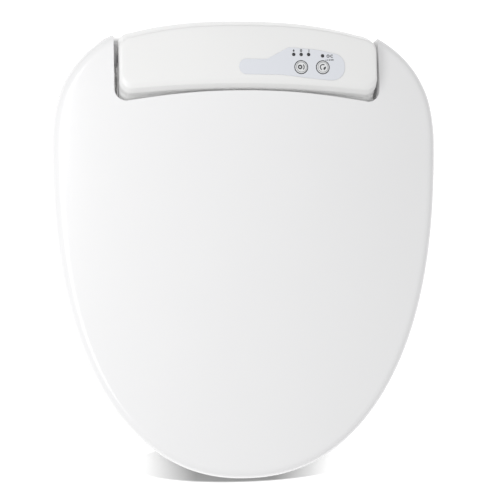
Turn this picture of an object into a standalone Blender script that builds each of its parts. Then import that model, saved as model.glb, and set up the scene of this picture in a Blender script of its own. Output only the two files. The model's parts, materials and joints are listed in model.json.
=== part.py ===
"""Electric bidet seat: a console with its works, a heated seat ring and a lid on one hinge line.

The origin is on the resting plane under the middle of the object. +X is to the right as seen from
the front, -Y is the front, +Z is up. Shapes are worked out in millimetres and stored in metres.
"""

from math import acos, atan, cos, degrees, hypot, pi, radians, sin, sqrt, tan

import bmesh
import bpy
from mathutils import Matrix, Vector

MM = 0.001
GAP = 0.3  # between pieces that touch

# Lid outline, seen from above
HALF_WIDTH = 196.0
HALF_DEPTH = 235.0
WIDEST_Y = 95.0
FRONT_POWERS = (2.35, 2.2)
REAR_POWERS = (2.45, 3.0)

# Lid section
LID_WALL = 3.0
LID_ROUND = 10.0
LID_FRONT_Z = 40.0
LID_RISE = 56.0
LID_RISE_POWER = 1.2
LID_CROWN = 4.0
LID_SIDE_DROP = (6.0, 8.0)
EAR_FALL = 6.0
SKIRT_FRONT_Z = 16.0
SKIRT_REAR_Z = 50.0

LID_MIDDLE_Y = 15.0
LID_STEPS = 56  # points round the outline

# Hinge line, along X
HINGE_Y = 194.0
HINGE_Z = 60.0
SHAFT_R = 4.0
KNUCKLE_R = 9.0

# Console
CONSOLE_HALF = 129.3
CONSOLE_FRONT_Y = 157.0
CONSOLE_FRONT_SAG = 7.4
CONSOLE_REAR_SAG = 17.0
REAR_SAG_POWER = 2.4
CONSOLE_ROUND = 12.0  # corners, in plan
BASE_FRONT_Y = 118.0
BASE_BOTTOM_Z = 5.3
PARTING_Z = 72.0
CONSOLE_TOP_Z = 103.0
WALL = 2.5
NOTCH_HALF = 133.5
NOTCH_FRONT_Y = 155.0  # where the lid is highest
NOTCH_SWEEP_R = 52.4  # of the notch's front edge about the hinge line, in the middle
NOTCH_SWEEP_GROWTH = 5.0  # and how much more it is at the console's ends

# Seat ring
SEAT_INSET = 8.5
SEAT_REAR_START_Y = 60.0
SEAT_REAR_Y = 115.0
SEAT_FLOOR_Z = 8.0
SEAT_BAR_FLOOR_Z = 26.0
SEAT_TOP_FRONT_Z = 30.0
SEAT_TOP_REAR_Z = 42.0
SEAT_WALL = 3.0
PLATE_THICK = 1.6
OPENING_Y = -22.0
OPENING_HALF_WIDTH = 104.0
OPENING_FRONT = 120.0
OPENING_REAR = 114.0

# Control panel
PANEL_Z = CONSOLE_TOP_Z + GAP
LABEL_THICK = 0.5
BUTTON_R = 6.0
BUTTON_CENTRES = {"power": (50.7, 178.1), "timer": (72.5, 178.1)}
LED_CENTRES = {
    "water": (43.4, 190.8),
    "seat": (50.9, 190.8),
    "dryer": (58.4, 190.8),
    "timer": (72.5, 189.6),
}
LED_R = 1.5

# Nozzle, on a line that falls towards the front
NOZZLE_SLOPE = radians(15)
NOZZLE_FRONT = Vector((0.0, BASE_FRONT_Y, 15.8))
WAND_R = 5.5
WAND_LENGTH = 98.0
GEAR_MODULE = 1.0
PINION_TEETH = 12
RACK_PITCH_HEIGHT = 8.0
PINION_BACK = 20.0

# Blower, on an upright axis
BLOWER_X = 62.0
BLOWER_Y = 168.0
BLOWER_R = 30.0

SCREW_SPOTS = ((-112.0, 138.0), (112.0, 138.0), (-88.0, 207.0), (88.0, 207.0))
SEAT_BUMPER_SPOTS = ((-142.0, 20.0), (142.0, 20.0), (-96.0, -140.0), (96.0, -140.0))
LID_BUMPER_SPOTS = ((-120.0, -160.0), (120.0, -160.0), (-72.0, -196.0), (72.0, -196.0))

COLOURS = {
    "white": ((0.93, 0.93, 0.93), 0.18, 0.0),
    "seat_white": ((0.90, 0.90, 0.89), 0.22, 0.0),
    "inner_white": ((0.80, 0.80, 0.79), 0.45, 0.0),
    "label": ((0.74, 0.77, 0.83), 0.3, 0.0),
    "button": ((0.86, 0.87, 0.88), 0.3, 0.0),
    "lens": ((0.16, 0.17, 0.20), 0.2, 0.0),
    "rubber": ((0.55, 0.56, 0.57), 0.7, 0.0),
    "black": ((0.03, 0.03, 0.03), 0.5, 0.0),
    "board": ((0.02, 0.18, 0.07), 0.4, 0.0),
    "steel": ((0.60, 0.60, 0.62), 0.3, 1.0),
    "foil": ((0.75, 0.75, 0.77), 0.35, 1.0),
    "hose": ((0.82, 0.86, 0.88), 0.4, 0.0),
    "blue": ((0.10, 0.25, 0.55), 0.4, 0.0),
}


# ---------------------------------------------------------------- scene helpers


def clear_scene():
    for old in list(bpy.data.objects):
        bpy.data.objects.remove(old, do_unlink=True)


def material(key):
    found = bpy.data.materials.get(key)
    if found:
        return found
    colour, roughness, metallic = COLOURS[key]
    made = bpy.data.materials.new(key)
    made.use_nodes = True
    shader = made.node_tree.nodes["Principled BSDF"]
    shader.inputs["Base Color"].default_value = (*colour, 1.0)
    shader.inputs["Roughness"].default_value = roughness
    shader.inputs["Metallic"].default_value = metallic
    return made


def pivot(name, place):
    """An empty on a joint's axis, for the pieces that move with it."""
    empty = bpy.data.objects.new(name, None)
    empty.location = Vector(place) * MM
    bpy.context.collection.objects.link(empty)
    return empty


def add(name, bm, key, on=None):
    """The piece in bm, drawn in millimetres, as an object whose origin is on its pivot or its centre."""
    if on:
        centre = on.location / MM
    else:
        corners = [v.co for v in bm.verts]
        centre = Vector([(min(c[i] for c in corners) + max(c[i] for c in corners)) / 2 for i in range(3)])
    bmesh.ops.translate(bm, verts=bm.verts, vec=-centre)
    bmesh.ops.scale(bm, verts=bm.verts, vec=(MM, MM, MM))
    bmesh.ops.recalc_face_normals(bm, faces=bm.faces)
    mesh = bpy.data.meshes.new(name)
    bm.to_mesh(mesh)
    bm.free()
    mesh.shade_smooth()
    mesh.set_sharp_from_angle(angle=radians(35))
    mesh.materials.append(material(key))
    made = bpy.data.objects.new(name, mesh)
    made.parent = on
    made.location = (0, 0, 0) if on else centre * MM
    bpy.context.collection.objects.link(made)
    return made


def copy_at(source, name, place, on=None):
    """Another object on the source's mesh, at a place in millimetres."""
    made = bpy.data.objects.new(name, source.data)
    made.parent = on
    made.location = Vector(place) * MM - (on.location if on else Vector())
    bpy.context.collection.objects.link(made)
    return made


def tool(name, bm):
    """A shape that only cuts, joins or trims other pieces."""
    made = add(name, bm, "inner_white")
    made.hide_render = True
    made.display_type = "WIRE"
    return made


def apply_tool(piece, other, operation):
    modifier = piece.modifiers.new(other.name, "BOOLEAN")
    modifier.operation = operation
    modifier.object = other


def cut(piece, *others):
    for other in others:
        apply_tool(piece, other, "DIFFERENCE")


def join(piece, *others):
    for other in others:
        apply_tool(piece, other, "UNION")


def soften(piece, width):
    modifier = piece.modifiers.new("edges", "BEVEL")
    modifier.width = width * MM
    modifier.limit_method = "ANGLE"
    modifier.angle_limit = radians(50)


# ---------------------------------------------------------------- shape helpers


def box(low, high):
    bm = bmesh.new()
    size = [b - a for a, b in zip(low, high)]
    middle = [(a + b) / 2 for a, b in zip(low, high)]
    bmesh.ops.create_cube(bm, size=1.0, matrix=Matrix.Translation(middle) @ Matrix.Diagonal((*size, 1.0)))
    return bm


def rod(start, end, radius, sides=18):
    """A round bar from start to end."""
    bm = bmesh.new()
    start, end = Vector(start), Vector(end)
    along = end - start
    turn = along.to_track_quat("Z", "Y").to_matrix().to_4x4()
    bmesh.ops.create_cone(
        bm,
        cap_ends=True,
        segments=sides,
        radius1=radius,
        radius2=radius,
        depth=along.length,
        matrix=Matrix.Translation((start + end) / 2) @ turn,
    )
    return bm


def turned(profile, x, y, sides=16):
    """A round piece on an upright axis, from (radius, height) points going up."""
    turns = [2 * pi * i / sides for i in range(sides)]
    return rings_solid([[(x + r * cos(a), y + r * sin(a), z) for a in turns] for r, z in profile])


def merge(*parts):
    """Several drawn shapes in one bmesh; they must not meet, or be tools."""
    whole = bmesh.new()
    for part in parts:
        mesh = bpy.data.meshes.new("part")
        part.to_mesh(mesh)
        part.free()
        whole.from_mesh(mesh)
        bpy.data.meshes.remove(mesh)
    return whole


def rings_solid(rings, closed=False):
    """A skin over rings of points: capped at both ends, or closed into a loop."""
    bm = bmesh.new()
    rows = [[bm.verts.new(p) for p in ring] for ring in rings]
    pairs = list(zip(rows, rows[1:]))
    if closed:
        pairs.append((rows[-1], rows[0]))
    else:
        bm.faces.new(rows[0])
        bm.faces.new(rows[-1][::-1])
    count = len(rings[0])
    for low, high in pairs:
        for i in range(count):
            j = (i + 1) % count
            bm.faces.new((low[i], low[j], high[j], high[i]))
    return bm


def prism(outline, low, high, axis="Z"):
    """An outline of (a, b) points extruded along one axis."""
    if axis == "X":
        rings = [[(h, a, b) for a, b in outline] for h in (low, high)]
    else:
        rings = [[(a, b, h) for a, b in outline] for h in (low, high)]
    return rings_solid(rings)


def arc(centre, radius, start, end, steps):
    """Points on a circle between two angles in degrees."""
    angles = [radians(start + (end - start) * i / steps) for i in range(steps + 1)]
    return [(centre[0] + radius * cos(a), centre[1] + radius * sin(a)) for a in angles]


def rounded_rectangle(x0, y0, x1, y1, radius, steps=4):
    corners = ((x1, y0, -90), (x1, y1, 0), (x0, y1, 90), (x0, y0, 180))
    points = []
    for x, y, start in corners:
        centre = (x - radius if x == x1 else x + radius, y - radius if y == y1 else y + radius)
        points += arc(centre, radius, start, start + 90, steps)
    return points


def smooth_step(value):
    value = min(max(value, 0.0), 1.0)
    return value * value * (3 - 2 * value)


# ---------------------------------------------------------------- lid and seat surfaces


def lid_curve(steps=180):
    """The lid's outline, counterclockwise from the front tip, on two halves of superellipses."""
    right = []
    for i in range(steps):
        a = pi / 2 * (1 - i / steps)
        y = WIDEST_Y - (WIDEST_Y + HALF_DEPTH) * sin(a) ** (2 / FRONT_POWERS[0])
        right.append((HALF_WIDTH * max(cos(a), 0.0) ** (2 / FRONT_POWERS[1]), y))
    for i in range(steps + 1):
        a = pi / 2 * i / steps
        y = WIDEST_Y + (HALF_DEPTH - WIDEST_Y) * sin(a) ** (2 / REAR_POWERS[0])
        right.append((HALF_WIDTH * max(cos(a), 0.0) ** (2 / REAR_POWERS[1]), y))
    return right + [(-x, y) for x, y in right[-2:0:-1]]


def inset_curve(points, inset):
    """The outline moved inwards by a distance."""
    moved = []
    count = len(points)
    for i, (x, y) in enumerate(points):
        before, after = points[i - 2], points[(i + 2) % count]
        dx, dy = after[0] - before[0], after[1] - before[1]
        length = hypot(dx, dy)
        moved.append((x - inset * dy / length, y + inset * dx / length))
    return moved


def even_points(points, count):
    """Points at even distances along a closed outline, from its first point on."""
    loop = points + points[:1]
    lengths = [0.0]
    for a, b in zip(loop, loop[1:]):
        lengths.append(lengths[-1] + hypot(b[0] - a[0], b[1] - a[1]))
    chosen = []
    k = 0
    for i in range(count):
        want = lengths[-1] * i / count
        while lengths[k + 1] < want:
            k += 1
        share = (want - lengths[k]) / (lengths[k + 1] - lengths[k])
        a, b = loop[k], loop[k + 1]
        chosen.append((a[0] + (b[0] - a[0]) * share, a[1] + (b[1] - a[1]) * share))
    return chosen


def polar_points(points, centre, count):
    """Where rays at even angles from a centre meet a closed outline, from the front on."""
    chosen = []
    for i in range(count):
        a = -pi / 2 + 2 * pi * i / count
        ray = (cos(a), sin(a))
        for (ax, ay), (bx, by) in zip(points, points[1:] + points[:1]):
            ax, ay, bx, by = ax - centre[0], ay - centre[1], bx - centre[0], by - centre[1]
            side_a, side_b = ray[0] * ay - ray[1] * ax, ray[0] * by - ray[1] * bx
            if side_a <= 0 < side_b or side_b <= 0 < side_a:
                share = side_a / (side_a - side_b)
                x, y = ax + (bx - ax) * share, ay + (by - ay) * share
                if x * ray[0] + y * ray[1] > 0:
                    chosen.append((x + centre[0], y + centre[1]))
                    break
    return chosen


def lid_top(x, y):
    """Height of the lid's outer face, before its edge rounds over."""
    t = min(max((y + HALF_DEPTH) / (NOTCH_FRONT_Y + HALF_DEPTH), 0.0), 1.0)
    spine = LID_FRONT_Z + LID_RISE * t**LID_RISE_POWER + LID_CROWN * 4 * t * (1 - t)
    behind = max(y - NOTCH_FRONT_Y, 0.0) / (HALF_DEPTH - NOTCH_FRONT_Y)
    side = (LID_SIDE_DROP[0] + LID_SIDE_DROP[1] * t) * (abs(x) / HALF_WIDTH) ** 2.2
    return spine - side - EAR_FALL * behind**2


def skirt_z(y):
    t = (y + HALF_DEPTH) / (2 * HALF_DEPTH)
    return SKIRT_FRONT_Z + (SKIRT_REAR_Z - SKIRT_FRONT_Z) * t**1.3


def seat_top(y):
    t = (y + HALF_DEPTH) / (SEAT_REAR_Y + HALF_DEPTH)
    return SEAT_TOP_FRONT_Z + (SEAT_TOP_REAR_Z - SEAT_TOP_FRONT_Z) * t


def seat_floor(y):
    rise = smooth_step((y - SEAT_REAR_START_Y + 5) / 33)
    return SEAT_FLOOR_Z + (SEAT_BAR_FLOOR_Z - SEAT_FLOOR_Z) * rise


def lid_skin(inset, drop, count):
    """Rings of the lid from its rim up over the round edge, and the ring where the face starts."""
    curve = lid_curve()
    face = even_points(inset_curve(curve, LID_ROUND), count)
    radius = LID_ROUND - inset
    rings = []
    rim = even_points(inset_curve(curve, inset), count) if inset else even_points(curve, count)
    rings.append([(x, y, skirt_z(y)) for x, y in rim])
    for degrees in (90, 60, 30, 0):
        a = radians(degrees)
        ring = []
        for (rx, ry), (fx, fy) in zip(rim, face):
            share = 1 - sin(a)
            z = lid_top(fx, fy) - drop - radius * (1 - cos(a))
            ring.append((rx + (fx - rx) * share, ry + (fy - ry) * share, z))
        rings.append(ring)
    return rings, face


def lid_dome(bm, inset, drop, count):
    """One skin of the lid: round edge, face in shrinking rings and a middle point. Returns its rim."""
    rings, face = lid_skin(inset, drop, count)
    for scale in (0.86, 0.66, 0.44, 0.22):
        smaller = [(x * scale, LID_MIDDLE_Y + (y - LID_MIDDLE_Y) * scale) for x, y in face]
        rings.append([(x, y, lid_top(x, y) - drop) for x, y in smaller])
    rows = [[bm.verts.new(p) for p in ring] for ring in rings]
    for low, high in zip(rows, rows[1:]):
        for i in range(count):
            j = (i + 1) % count
            bm.faces.new((low[i], low[j], high[j], high[i]))
    middle = bm.verts.new((0, LID_MIDDLE_Y, lid_top(0, LID_MIDDLE_Y) - drop))
    for i in range(count):
        bm.faces.new((rows[-1][i], rows[-1][(i + 1) % count], middle))
    return rows[0]


def lid_shell_mesh(count=LID_STEPS):
    bm = bmesh.new()
    outer = lid_dome(bm, 0.0, 0.0, count)
    inner = lid_dome(bm, LID_WALL, LID_WALL, count)
    for i in range(count):
        j = (i + 1) % count
        bm.faces.new((outer[i], outer[j], inner[j], inner[i]))
    return bm


def lid_block_mesh(depth, count=LID_STEPS):
    """The space under a face that lies inside the lid's wall, to trim ribs with."""
    bm = bmesh.new()
    rim = lid_dome(bm, depth, depth, count)
    bm.faces.new(rim)
    return bm


def seat_curves(count):
    curve = inset_curve(lid_curve(), SEAT_INSET)
    rear = max(y for _, y in curve)
    squash = (SEAT_REAR_Y - SEAT_REAR_START_Y) / (rear - SEAT_REAR_START_Y)
    outer = []
    for x, y in curve:
        past = max(y - SEAT_REAR_START_Y, 0.0)
        outer.append((x, y - past + past * squash))
    inner = []
    for i in range(180):
        a = -pi / 2 + 2 * pi * i / 180
        reach = OPENING_FRONT if sin(a) < 0 else OPENING_REAR
        across = abs(cos(a)) ** 0.92 * (1 if cos(a) > 0 else -1)
        inner.append((OPENING_HALF_WIDTH * across, OPENING_Y + reach * sin(a)))
    centre = (0.0, OPENING_Y)
    return polar_points(outer, centre, count), polar_points(inner, centre, count)


def seat_ring(section, count, first=0, last=None):
    """Rings across the seat: section gives (distance, height) points for a width and a place."""
    outer, inner = seat_curves(count)
    rings = []
    for i in range(first, count if last is None else last):
        (ox, oy), (ix, iy) = outer[i % count], inner[i % count]
        width = hypot(ix - ox, iy - oy)
        ring = []
        for distance, height in section(width, (oy + iy) / 2):
            share = distance / width
            ring.append((ox + (ix - ox) * share, oy + (iy - oy) * share, height))
        rings.append(ring)
    return rings


SEAT_PROFILE = (
    (0.0, -9.0),
    (0.03, -4.0),
    (0.11, -1.0),
    (0.30, 1.2),
    (0.52, 1.5),
    (0.74, -0.6),
    (0.90, -4.5),
    (1.0, -10.0),
)


def seat_shell_section(width, y):
    top, floor = seat_top(y), seat_floor(y)
    outer = [(0.0, floor)] + [(w * width, top + z) for w, z in SEAT_PROFILE] + [(width, floor)]
    hollow = width - 2 * SEAT_WALL
    inner = [(SEAT_WALL + w * hollow, top + z - SEAT_WALL) for w, z in SEAT_PROFILE]
    return outer + [(width - SEAT_WALL, floor)] + inner[::-1] + [(SEAT_WALL, floor)]


def seat_plate_section(width, y):
    edge = SEAT_WALL + GAP
    floor = seat_floor(y)
    return [(edge, floor), (width - edge, floor), (width - edge, floor + PLATE_THICK), (edge, floor + PLATE_THICK)]


def seat_film_section(width, y):
    hollow = width - 2 * SEAT_WALL
    drop = SEAT_WALL + GAP + 0.2
    upper = [(SEAT_WALL + w * hollow, seat_top(y) + z - drop) for w, z in SEAT_PROFILE[2:6]]
    return upper + [(d, z - 0.8) for d, z in upper[::-1]]


# ---------------------------------------------------------------- console surfaces


def console_outline(front, rear, half, front_sag, radius):
    """A plan of the console: arched front and rear, straight sides, round corners."""
    corner_steps, edge_steps = 4, 5
    reach = half - radius

    def front_edge(x):
        return front - front_sag * (x / CONSOLE_HALF) ** 2

    def rear_edge(x):
        return rear - CONSOLE_REAR_SAG * (x / CONSOLE_HALF) ** REAR_SAG_POWER

    steps = [reach * i / edge_steps for i in range(edge_steps)]
    right = [(x, front_edge(x)) for x in steps]
    right += arc((reach, front_edge(reach) + radius), radius, -90, 0, corner_steps)
    right += arc((reach, rear_edge(reach) - radius), radius, 0, 90, corner_steps)
    right += [(x, rear_edge(x)) for x in steps[::-1]]
    return right + [(-x, y) for x, y in right[-2:0:-1]]


def console_rings(levels, inset):
    """Rings of (height, front, rear, side inset, front sag) levels, moved inwards by inset."""
    rings = []
    for z, front, rear, side, sag in levels:
        half, radius = CONSOLE_HALF - side - inset, CONSOLE_ROUND - inset
        plan = console_outline(front + inset, rear - inset, half, sag, radius)
        rings.append([(x, y, z) for x, y in plan])
    return rings


COVER_LEVELS = (
    (PARTING_Z, BASE_FRONT_Y, 231.3, 0.0, 0.0),
    (74.0, BASE_FRONT_Y + 2, 230.8, 0.0, 0.0),
    (80.5, 149.0, 228.8, 0.0, 5.5),
    (87.0, CONSOLE_FRONT_Y, 226.4, 0.0, CONSOLE_FRONT_SAG),
    (95.0, CONSOLE_FRONT_Y + 1.6, 223.0, 0.2, CONSOLE_FRONT_SAG),
    (100.8, CONSOLE_FRONT_Y + 5.3, 220.6, 0.8, CONSOLE_FRONT_SAG),
    (102.7, CONSOLE_FRONT_Y + 10.0, 219.0, 2.2, CONSOLE_FRONT_SAG),
    (CONSOLE_TOP_Z, CONSOLE_FRONT_Y + 13.0, 217.2, 4.0, CONSOLE_FRONT_SAG),
)

BASE_LEVELS = (
    (BASE_BOTTOM_Z, BASE_FRONT_Y + 2, 229.0, 2.0, 0.0),
    (BASE_BOTTOM_Z + 4, BASE_FRONT_Y, 232.0, 0.0, 0.0),
    (50.0, BASE_FRONT_Y, HALF_DEPTH, 0.0, 0.0),
    (PARTING_Z - GAP, BASE_FRONT_Y, 231.4, 0.0, 0.0),
)


def shell_rings(levels, floor_at_top):
    """Outer rings and, back again, inner rings one wall inside them."""
    outer = console_rings(levels, 0.0)
    rim = levels[0][0] if floor_at_top else levels[-1][0]
    moved = []
    for z, *plan in levels:
        if floor_at_top:
            height = z if z == rim else max(z - WALL, rim + 0.5)
        else:
            height = z if z == rim else z + WALL
        moved.append((height, *plan))
    return outer, console_rings(moved, WALL)


def console_shell(levels, floor_at_top):
    outer, inner = shell_rings(levels, floor_at_top)
    if floor_at_top:
        return rings_solid(outer[::-1] + inner)
    return rings_solid(outer + inner[::-1])


# ---------------------------------------------------------------- console pieces


def add_base_housing():
    base = add("base_housing", console_shell(BASE_LEVELS, False), "white")
    for number, (x, y) in enumerate(SCREW_SPOTS):
        post = tool(f"base_post_{number}", rod((x, y, BASE_BOTTOM_Z + 1), (x, y, PARTING_Z - 1), 5.0, 16))
        hole = tool(f"base_hole_{number}", rod((x, y, -1), (x, y, PARTING_Z + 1), 2.2, 12))
        recess = tool(f"base_recess_{number}", rod((x, y, -1), (x, y, 11.6), 4.2, 12))
        join(base, post)
        cut(base, hole, recess)
    for name, x in (("left", -111), ("right", 111)):
        join(base, tool(f"damper_saddle_{name}", box((x - 11, 189.2, BASE_BOTTOM_Z + 1), (x + 11, 199, 49.2))))
    hinge_holes = tool("hinge_holes", rod((-140, HINGE_Y, HINGE_Z), (140, HINGE_Y, HINGE_Z), SHAFT_R + 0.8))
    nozzle_port = tool("nozzle_port", box((-10, 110, 8.8), (10, 125, 26.0)))
    dryer_port = tool("dryer_port", box((38, 110, 10.5), (72, 125, 26.2)))
    inlet_hole = tool("inlet_hole", rod((-140, 178, 18), (-120, 178, 18), 8.0))
    gland_hole = tool("gland_hole", rod((120, 206, 16), (140, 206, 16), 5.3))
    release_hole = tool("release_hole", box((120, 155.6, 9.6), (140, 174.4, 20.4)))
    intake = [box((50 + 6 * i, 156, 0), (53 + 6 * i, 178, 12)) for i in range(5)]
    cut(base, hinge_holes, nozzle_port, dryer_port, inlet_hole, gland_hole, release_hole)
    cut(base, tool("air_intake", merge(*intake)))


def add_rear_cover():
    cover = add("rear_cover", console_shell(COVER_LEVELS, True), "white")
    for number, (x, y) in enumerate(SCREW_SPOTS):
        top = 76.8 if y < CONSOLE_FRONT_Y else CONSOLE_TOP_Z - 1.5
        post = tool(f"cover_post_{number}", rod((x, y, PARTING_Z), (x, y, top), 4.6, 16))
        hole = tool(f"cover_hole_{number}", rod((x, y, PARTING_Z - 2), (x, y, 75.6), 2.2, 12))
        join(cover, post)
        cut(cover, hole)
    for number, x in enumerate((0.0, 90.0)):
        peg = tool(f"board_peg_{number}", rod((x, 182, 94.2), (x, 182, CONSOLE_TOP_Z - 1), 2.5, 12))
        join(cover, peg)
    cut(cover, panel_hole_tools("panel_holes"))


def label_outline():
    """A long tongue with a round left end, growing into a larger round end on the right."""
    head = arc((80.0, 181.0), 15.0, -82, 82, 8)
    tongue = arc((-2.7, 178.3), 7.8, 98, 262, 6)
    return head + [(40.0, 197.2), (33.0, 195.0), (17.0, 187.5)] + tongue


def panel_hole_tools(name):
    """Round holes through the cover or its label, for the buttons and the lights."""
    holes = [rod((x, y, 95), (x, y, 110), BUTTON_R + 0.4) for x, y in BUTTON_CENTRES.values()]
    holes += [rod((x, y, 95), (x, y, 110), LED_R + GAP, 10) for x, y in LED_CENTRES.values()]
    return tool(name, merge(*holes))


def add_control_panel():
    label = add("panel_label", prism(label_outline(), PANEL_Z, PANEL_Z + LABEL_THICK), "label")
    cut(label, panel_hole_tools("label_holes"))
    add("panel_board", box((-5, 169, 92.2), (95, 197, 93.8)), "board")
    for name, (x, y) in LED_CENTRES.items():
        add(f"{name}_led", rod((x, y, 94.1), (x, y, PANEL_Z + LABEL_THICK), LED_R, 10), "lens")
    for name, (x, y) in BUTTON_CENTRES.items():
        add(f"{name}_key_switch", box((x - 3, y - 3, 94.1), (x + 3, y + 3, 97.0)), "black")
        on = pivot(f"{name}_button_pivot", (x, y, CONSOLE_TOP_Z))
        flange, top = BUTTON_R + 1.4, PANEL_Z + LABEL_THICK + 0.8
        profile = ((2.0, 98.1), (2.0, 98.7), (flange, 98.7), (flange, 99.7), (BUTTON_R, 99.7))
        profile += ((BUTTON_R, top - 0.5), (BUTTON_R - 0.5, top))
        add(f"{name}_button", turned(profile, x, y, 18), "button", on)


def add_screws():
    x, y = SCREW_SPOTS[0]
    profile = ((3.6, 8.1), (3.6, 11.0), (1.8, 11.2), (1.8, 74.6), (0.6, 75.2))
    first = add("cover_screw_1", turned(profile, x, y, 12), "steel")
    for number, (x, y) in enumerate(SCREW_SPOTS[1:], 2):
        copy_at(first, f"cover_screw_{number}", (x, y, first.location.z / MM))


def add_mounting():
    plate = add("mounting_plate", prism(rounded_rectangle(-96, 136, 96, 208, 10), 0, 5), "inner_white")
    slots = [prism(rounded_rectangle(s * 70 - 20, 164, s * 70 + 20, 176, 5.9), -1, 6) for s in (-1, 1)]
    slots.append(prism(rounded_rectangle(-34, 150, 34, 194, 6), -1, 6))
    cut(plate, tool("plate_slots", merge(*slots)))
    for name, x in (("left", -110), ("right", 110)):
        add(f"base_pad_{name}", turned(((6.2, 0), (7.0, 0.8), (7.0, 5.0)), x, 128), "rubber")
    on = pivot("release_button_pivot", (CONSOLE_HALF, 165, 15))
    button = add("release_button", box((124, 156, 10), (132.3, 174, 20)), "inner_white", on)
    soften(button, 1.0)


# ---------------------------------------------------------------- works in the console


def add_water_parts():
    inlet = add("water_inlet", rod((-154, 178, 18), (-120, 178, 18), 7.6), "inner_white")
    thread = tool("inlet_thread", rod((-154, 178, 18), (-131.2, 178, 18), 10.4, 32))
    nut = tool("inlet_nut", rod((-124.6, 178, 18), (-121, 178, 18), 9.2, 6))
    bore = tool("inlet_bore", rod((-156, 178, 18), (-118, 178, 18), 5.5))
    join(inlet, thread, nut)
    cut(inlet, bore)
    strainer = add("inlet_filter", rod((-152.5, 178, 18), (-136, 178, 18), 5.0, 16), "blue")
    cut(strainer, tool("filter_bore", rod((-153.5, 178, 18), (-138, 178, 18), 3.8, 16)))
    valve = add("solenoid_valve", box((-119.5, 163, 8.2), (-92, 188.5, 27)), "black")
    coil = tool("valve_coil", rod((-106, 178, 26), (-106, 178, 45), 10.0))
    spout = tool("valve_spout", rod((-94, 172, 18), (-87, 172, 18), 4.0, 16))
    join(valve, coil, spout)
    heater = add("water_heater", box((-76, 150, 8.2), (-24, 214, 44)), "steel")
    soften(heater, 3.0)
    spouts = (((-80, 172, 18), (-75, 172, 18)), ((-25, 205, 38), (-20.5, 205, 38)))
    for number, (start, end) in enumerate(spouts):
        join(heater, tool(f"heater_spout_{number}", rod(start, end, 4.0, 16)))
    hose("supply_hose", [(-86.7, 172, 18), (-84.6, 172, 18), (-82.4, 172, 18), (-80.3, 172, 18)], 4.0)
    hose("nozzle_hose", [(-20.2, 205, 38), (-16.6, 205, 38), (-13, 205, 38), (-9.4, 205, 38)], 3.0)


def hose(name, points, radius):
    """A bent tube through points, on a smooth curve."""
    curve = bpy.data.curves.new(name, "CURVE")
    curve.dimensions = "3D"
    curve.bevel_depth = radius * MM
    curve.bevel_resolution = 2
    curve.use_fill_caps = True
    path = smooth_path([Vector(p) for p in points], 3)
    spline = curve.splines.new("POLY")
    spline.points.add(len(path) - 1)
    centre = sum(path, Vector()) / len(path)
    for point, place in zip(spline.points, path):
        point.co = (*((place - centre) * MM), 1.0)
    curve.materials.append(material("hose"))
    made = bpy.data.objects.new(name, curve)
    made.location = centre * MM
    bpy.context.collection.objects.link(made)


def smooth_path(points, steps):
    """Points along a Catmull-Rom curve through the given points."""
    padded = [points[0] * 2 - points[1]] + points + [points[-1] * 2 - points[-2]]
    path = []
    for a, b, c, d in zip(padded, padded[1:], padded[2:], padded[3:]):
        for i in range(steps):
            t = i / steps
            path.append(
                0.5 * (2 * b + (c - a) * t + (2 * a - 5 * b + 4 * c - d) * t * t + (3 * b - a - 3 * c + d) * t**3)
            )
    return path + [points[-1]]


def nozzle_frame():
    """The nozzle's own axes: origin at the port, Y back along the wand, Z square to it."""
    return Matrix.Translation(NOZZLE_FRONT) @ Matrix.Rotation(NOZZLE_SLOPE, 4, "X")


def in_nozzle(bm):
    bmesh.ops.transform(bm, matrix=nozzle_frame(), verts=bm.verts)
    return bm


def guide_profile():
    """A C-shaped channel round the wand, open at the top for the rack."""
    bore = WAND_R + 0.4
    half_slot = 2.8
    lip = sqrt(bore**2 - half_slot**2)
    inner = [(half_slot, lip)] + arc((0, 0), bore, 58, -238, 14) + [(-half_slot, lip)]
    return [(-half_slot, 6.6), (-9, 6.6), (-9, -9), (9, -9), (9, 6.6), (half_slot, 6.6)] + inner


def gear_outline(teeth, module):
    """Involute teeth, a little thin so that they run with backlash."""
    pitch_r = teeth * module / 2
    pressure = radians(20)
    base_r, tip_r, root_r = pitch_r * cos(pressure), pitch_r + 0.7 * module, pitch_r - 0.9 * module
    half = pi / (2 * teeth) - 0.14 / pitch_r + tan(pressure) - pressure
    flank = [(root_r, half)]
    for i in range(3):
        radius = base_r + (tip_r - base_r) * i / 2
        slope = sqrt((radius / base_r) ** 2 - 1)
        flank.append((radius, half - (slope - atan(slope))))
    points = []
    for tooth in range(teeth):
        middle = 2 * pi * tooth / teeth
        for radius, angle in [(r, -a) for r, a in flank] + flank[::-1]:
            points.append((radius * cos(middle + angle), radius * sin(middle + angle)))
    return points


def rack_outline(start, end):
    """Side view of the rack: straight teeth on a bar, with a gap under the pinion at rest."""
    pitch = pi * GEAR_MODULE
    base, tip = RACK_PITCH_HEIGHT - 1.0, RACK_PITCH_HEIGHT + 0.6
    points = [(start, 4.2), (start, base)]
    middle = PINION_BACK + pitch / 2
    while middle - pitch > start + 1.2:
        middle -= pitch
    while middle < end - 1.2:
        points += [(middle + a, z) for a, z in ((-1.03, base), (-0.45, tip), (0.45, tip), (1.03, base))]
        middle += pitch
    return points + [(end, base), (end, 4.2)]


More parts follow.
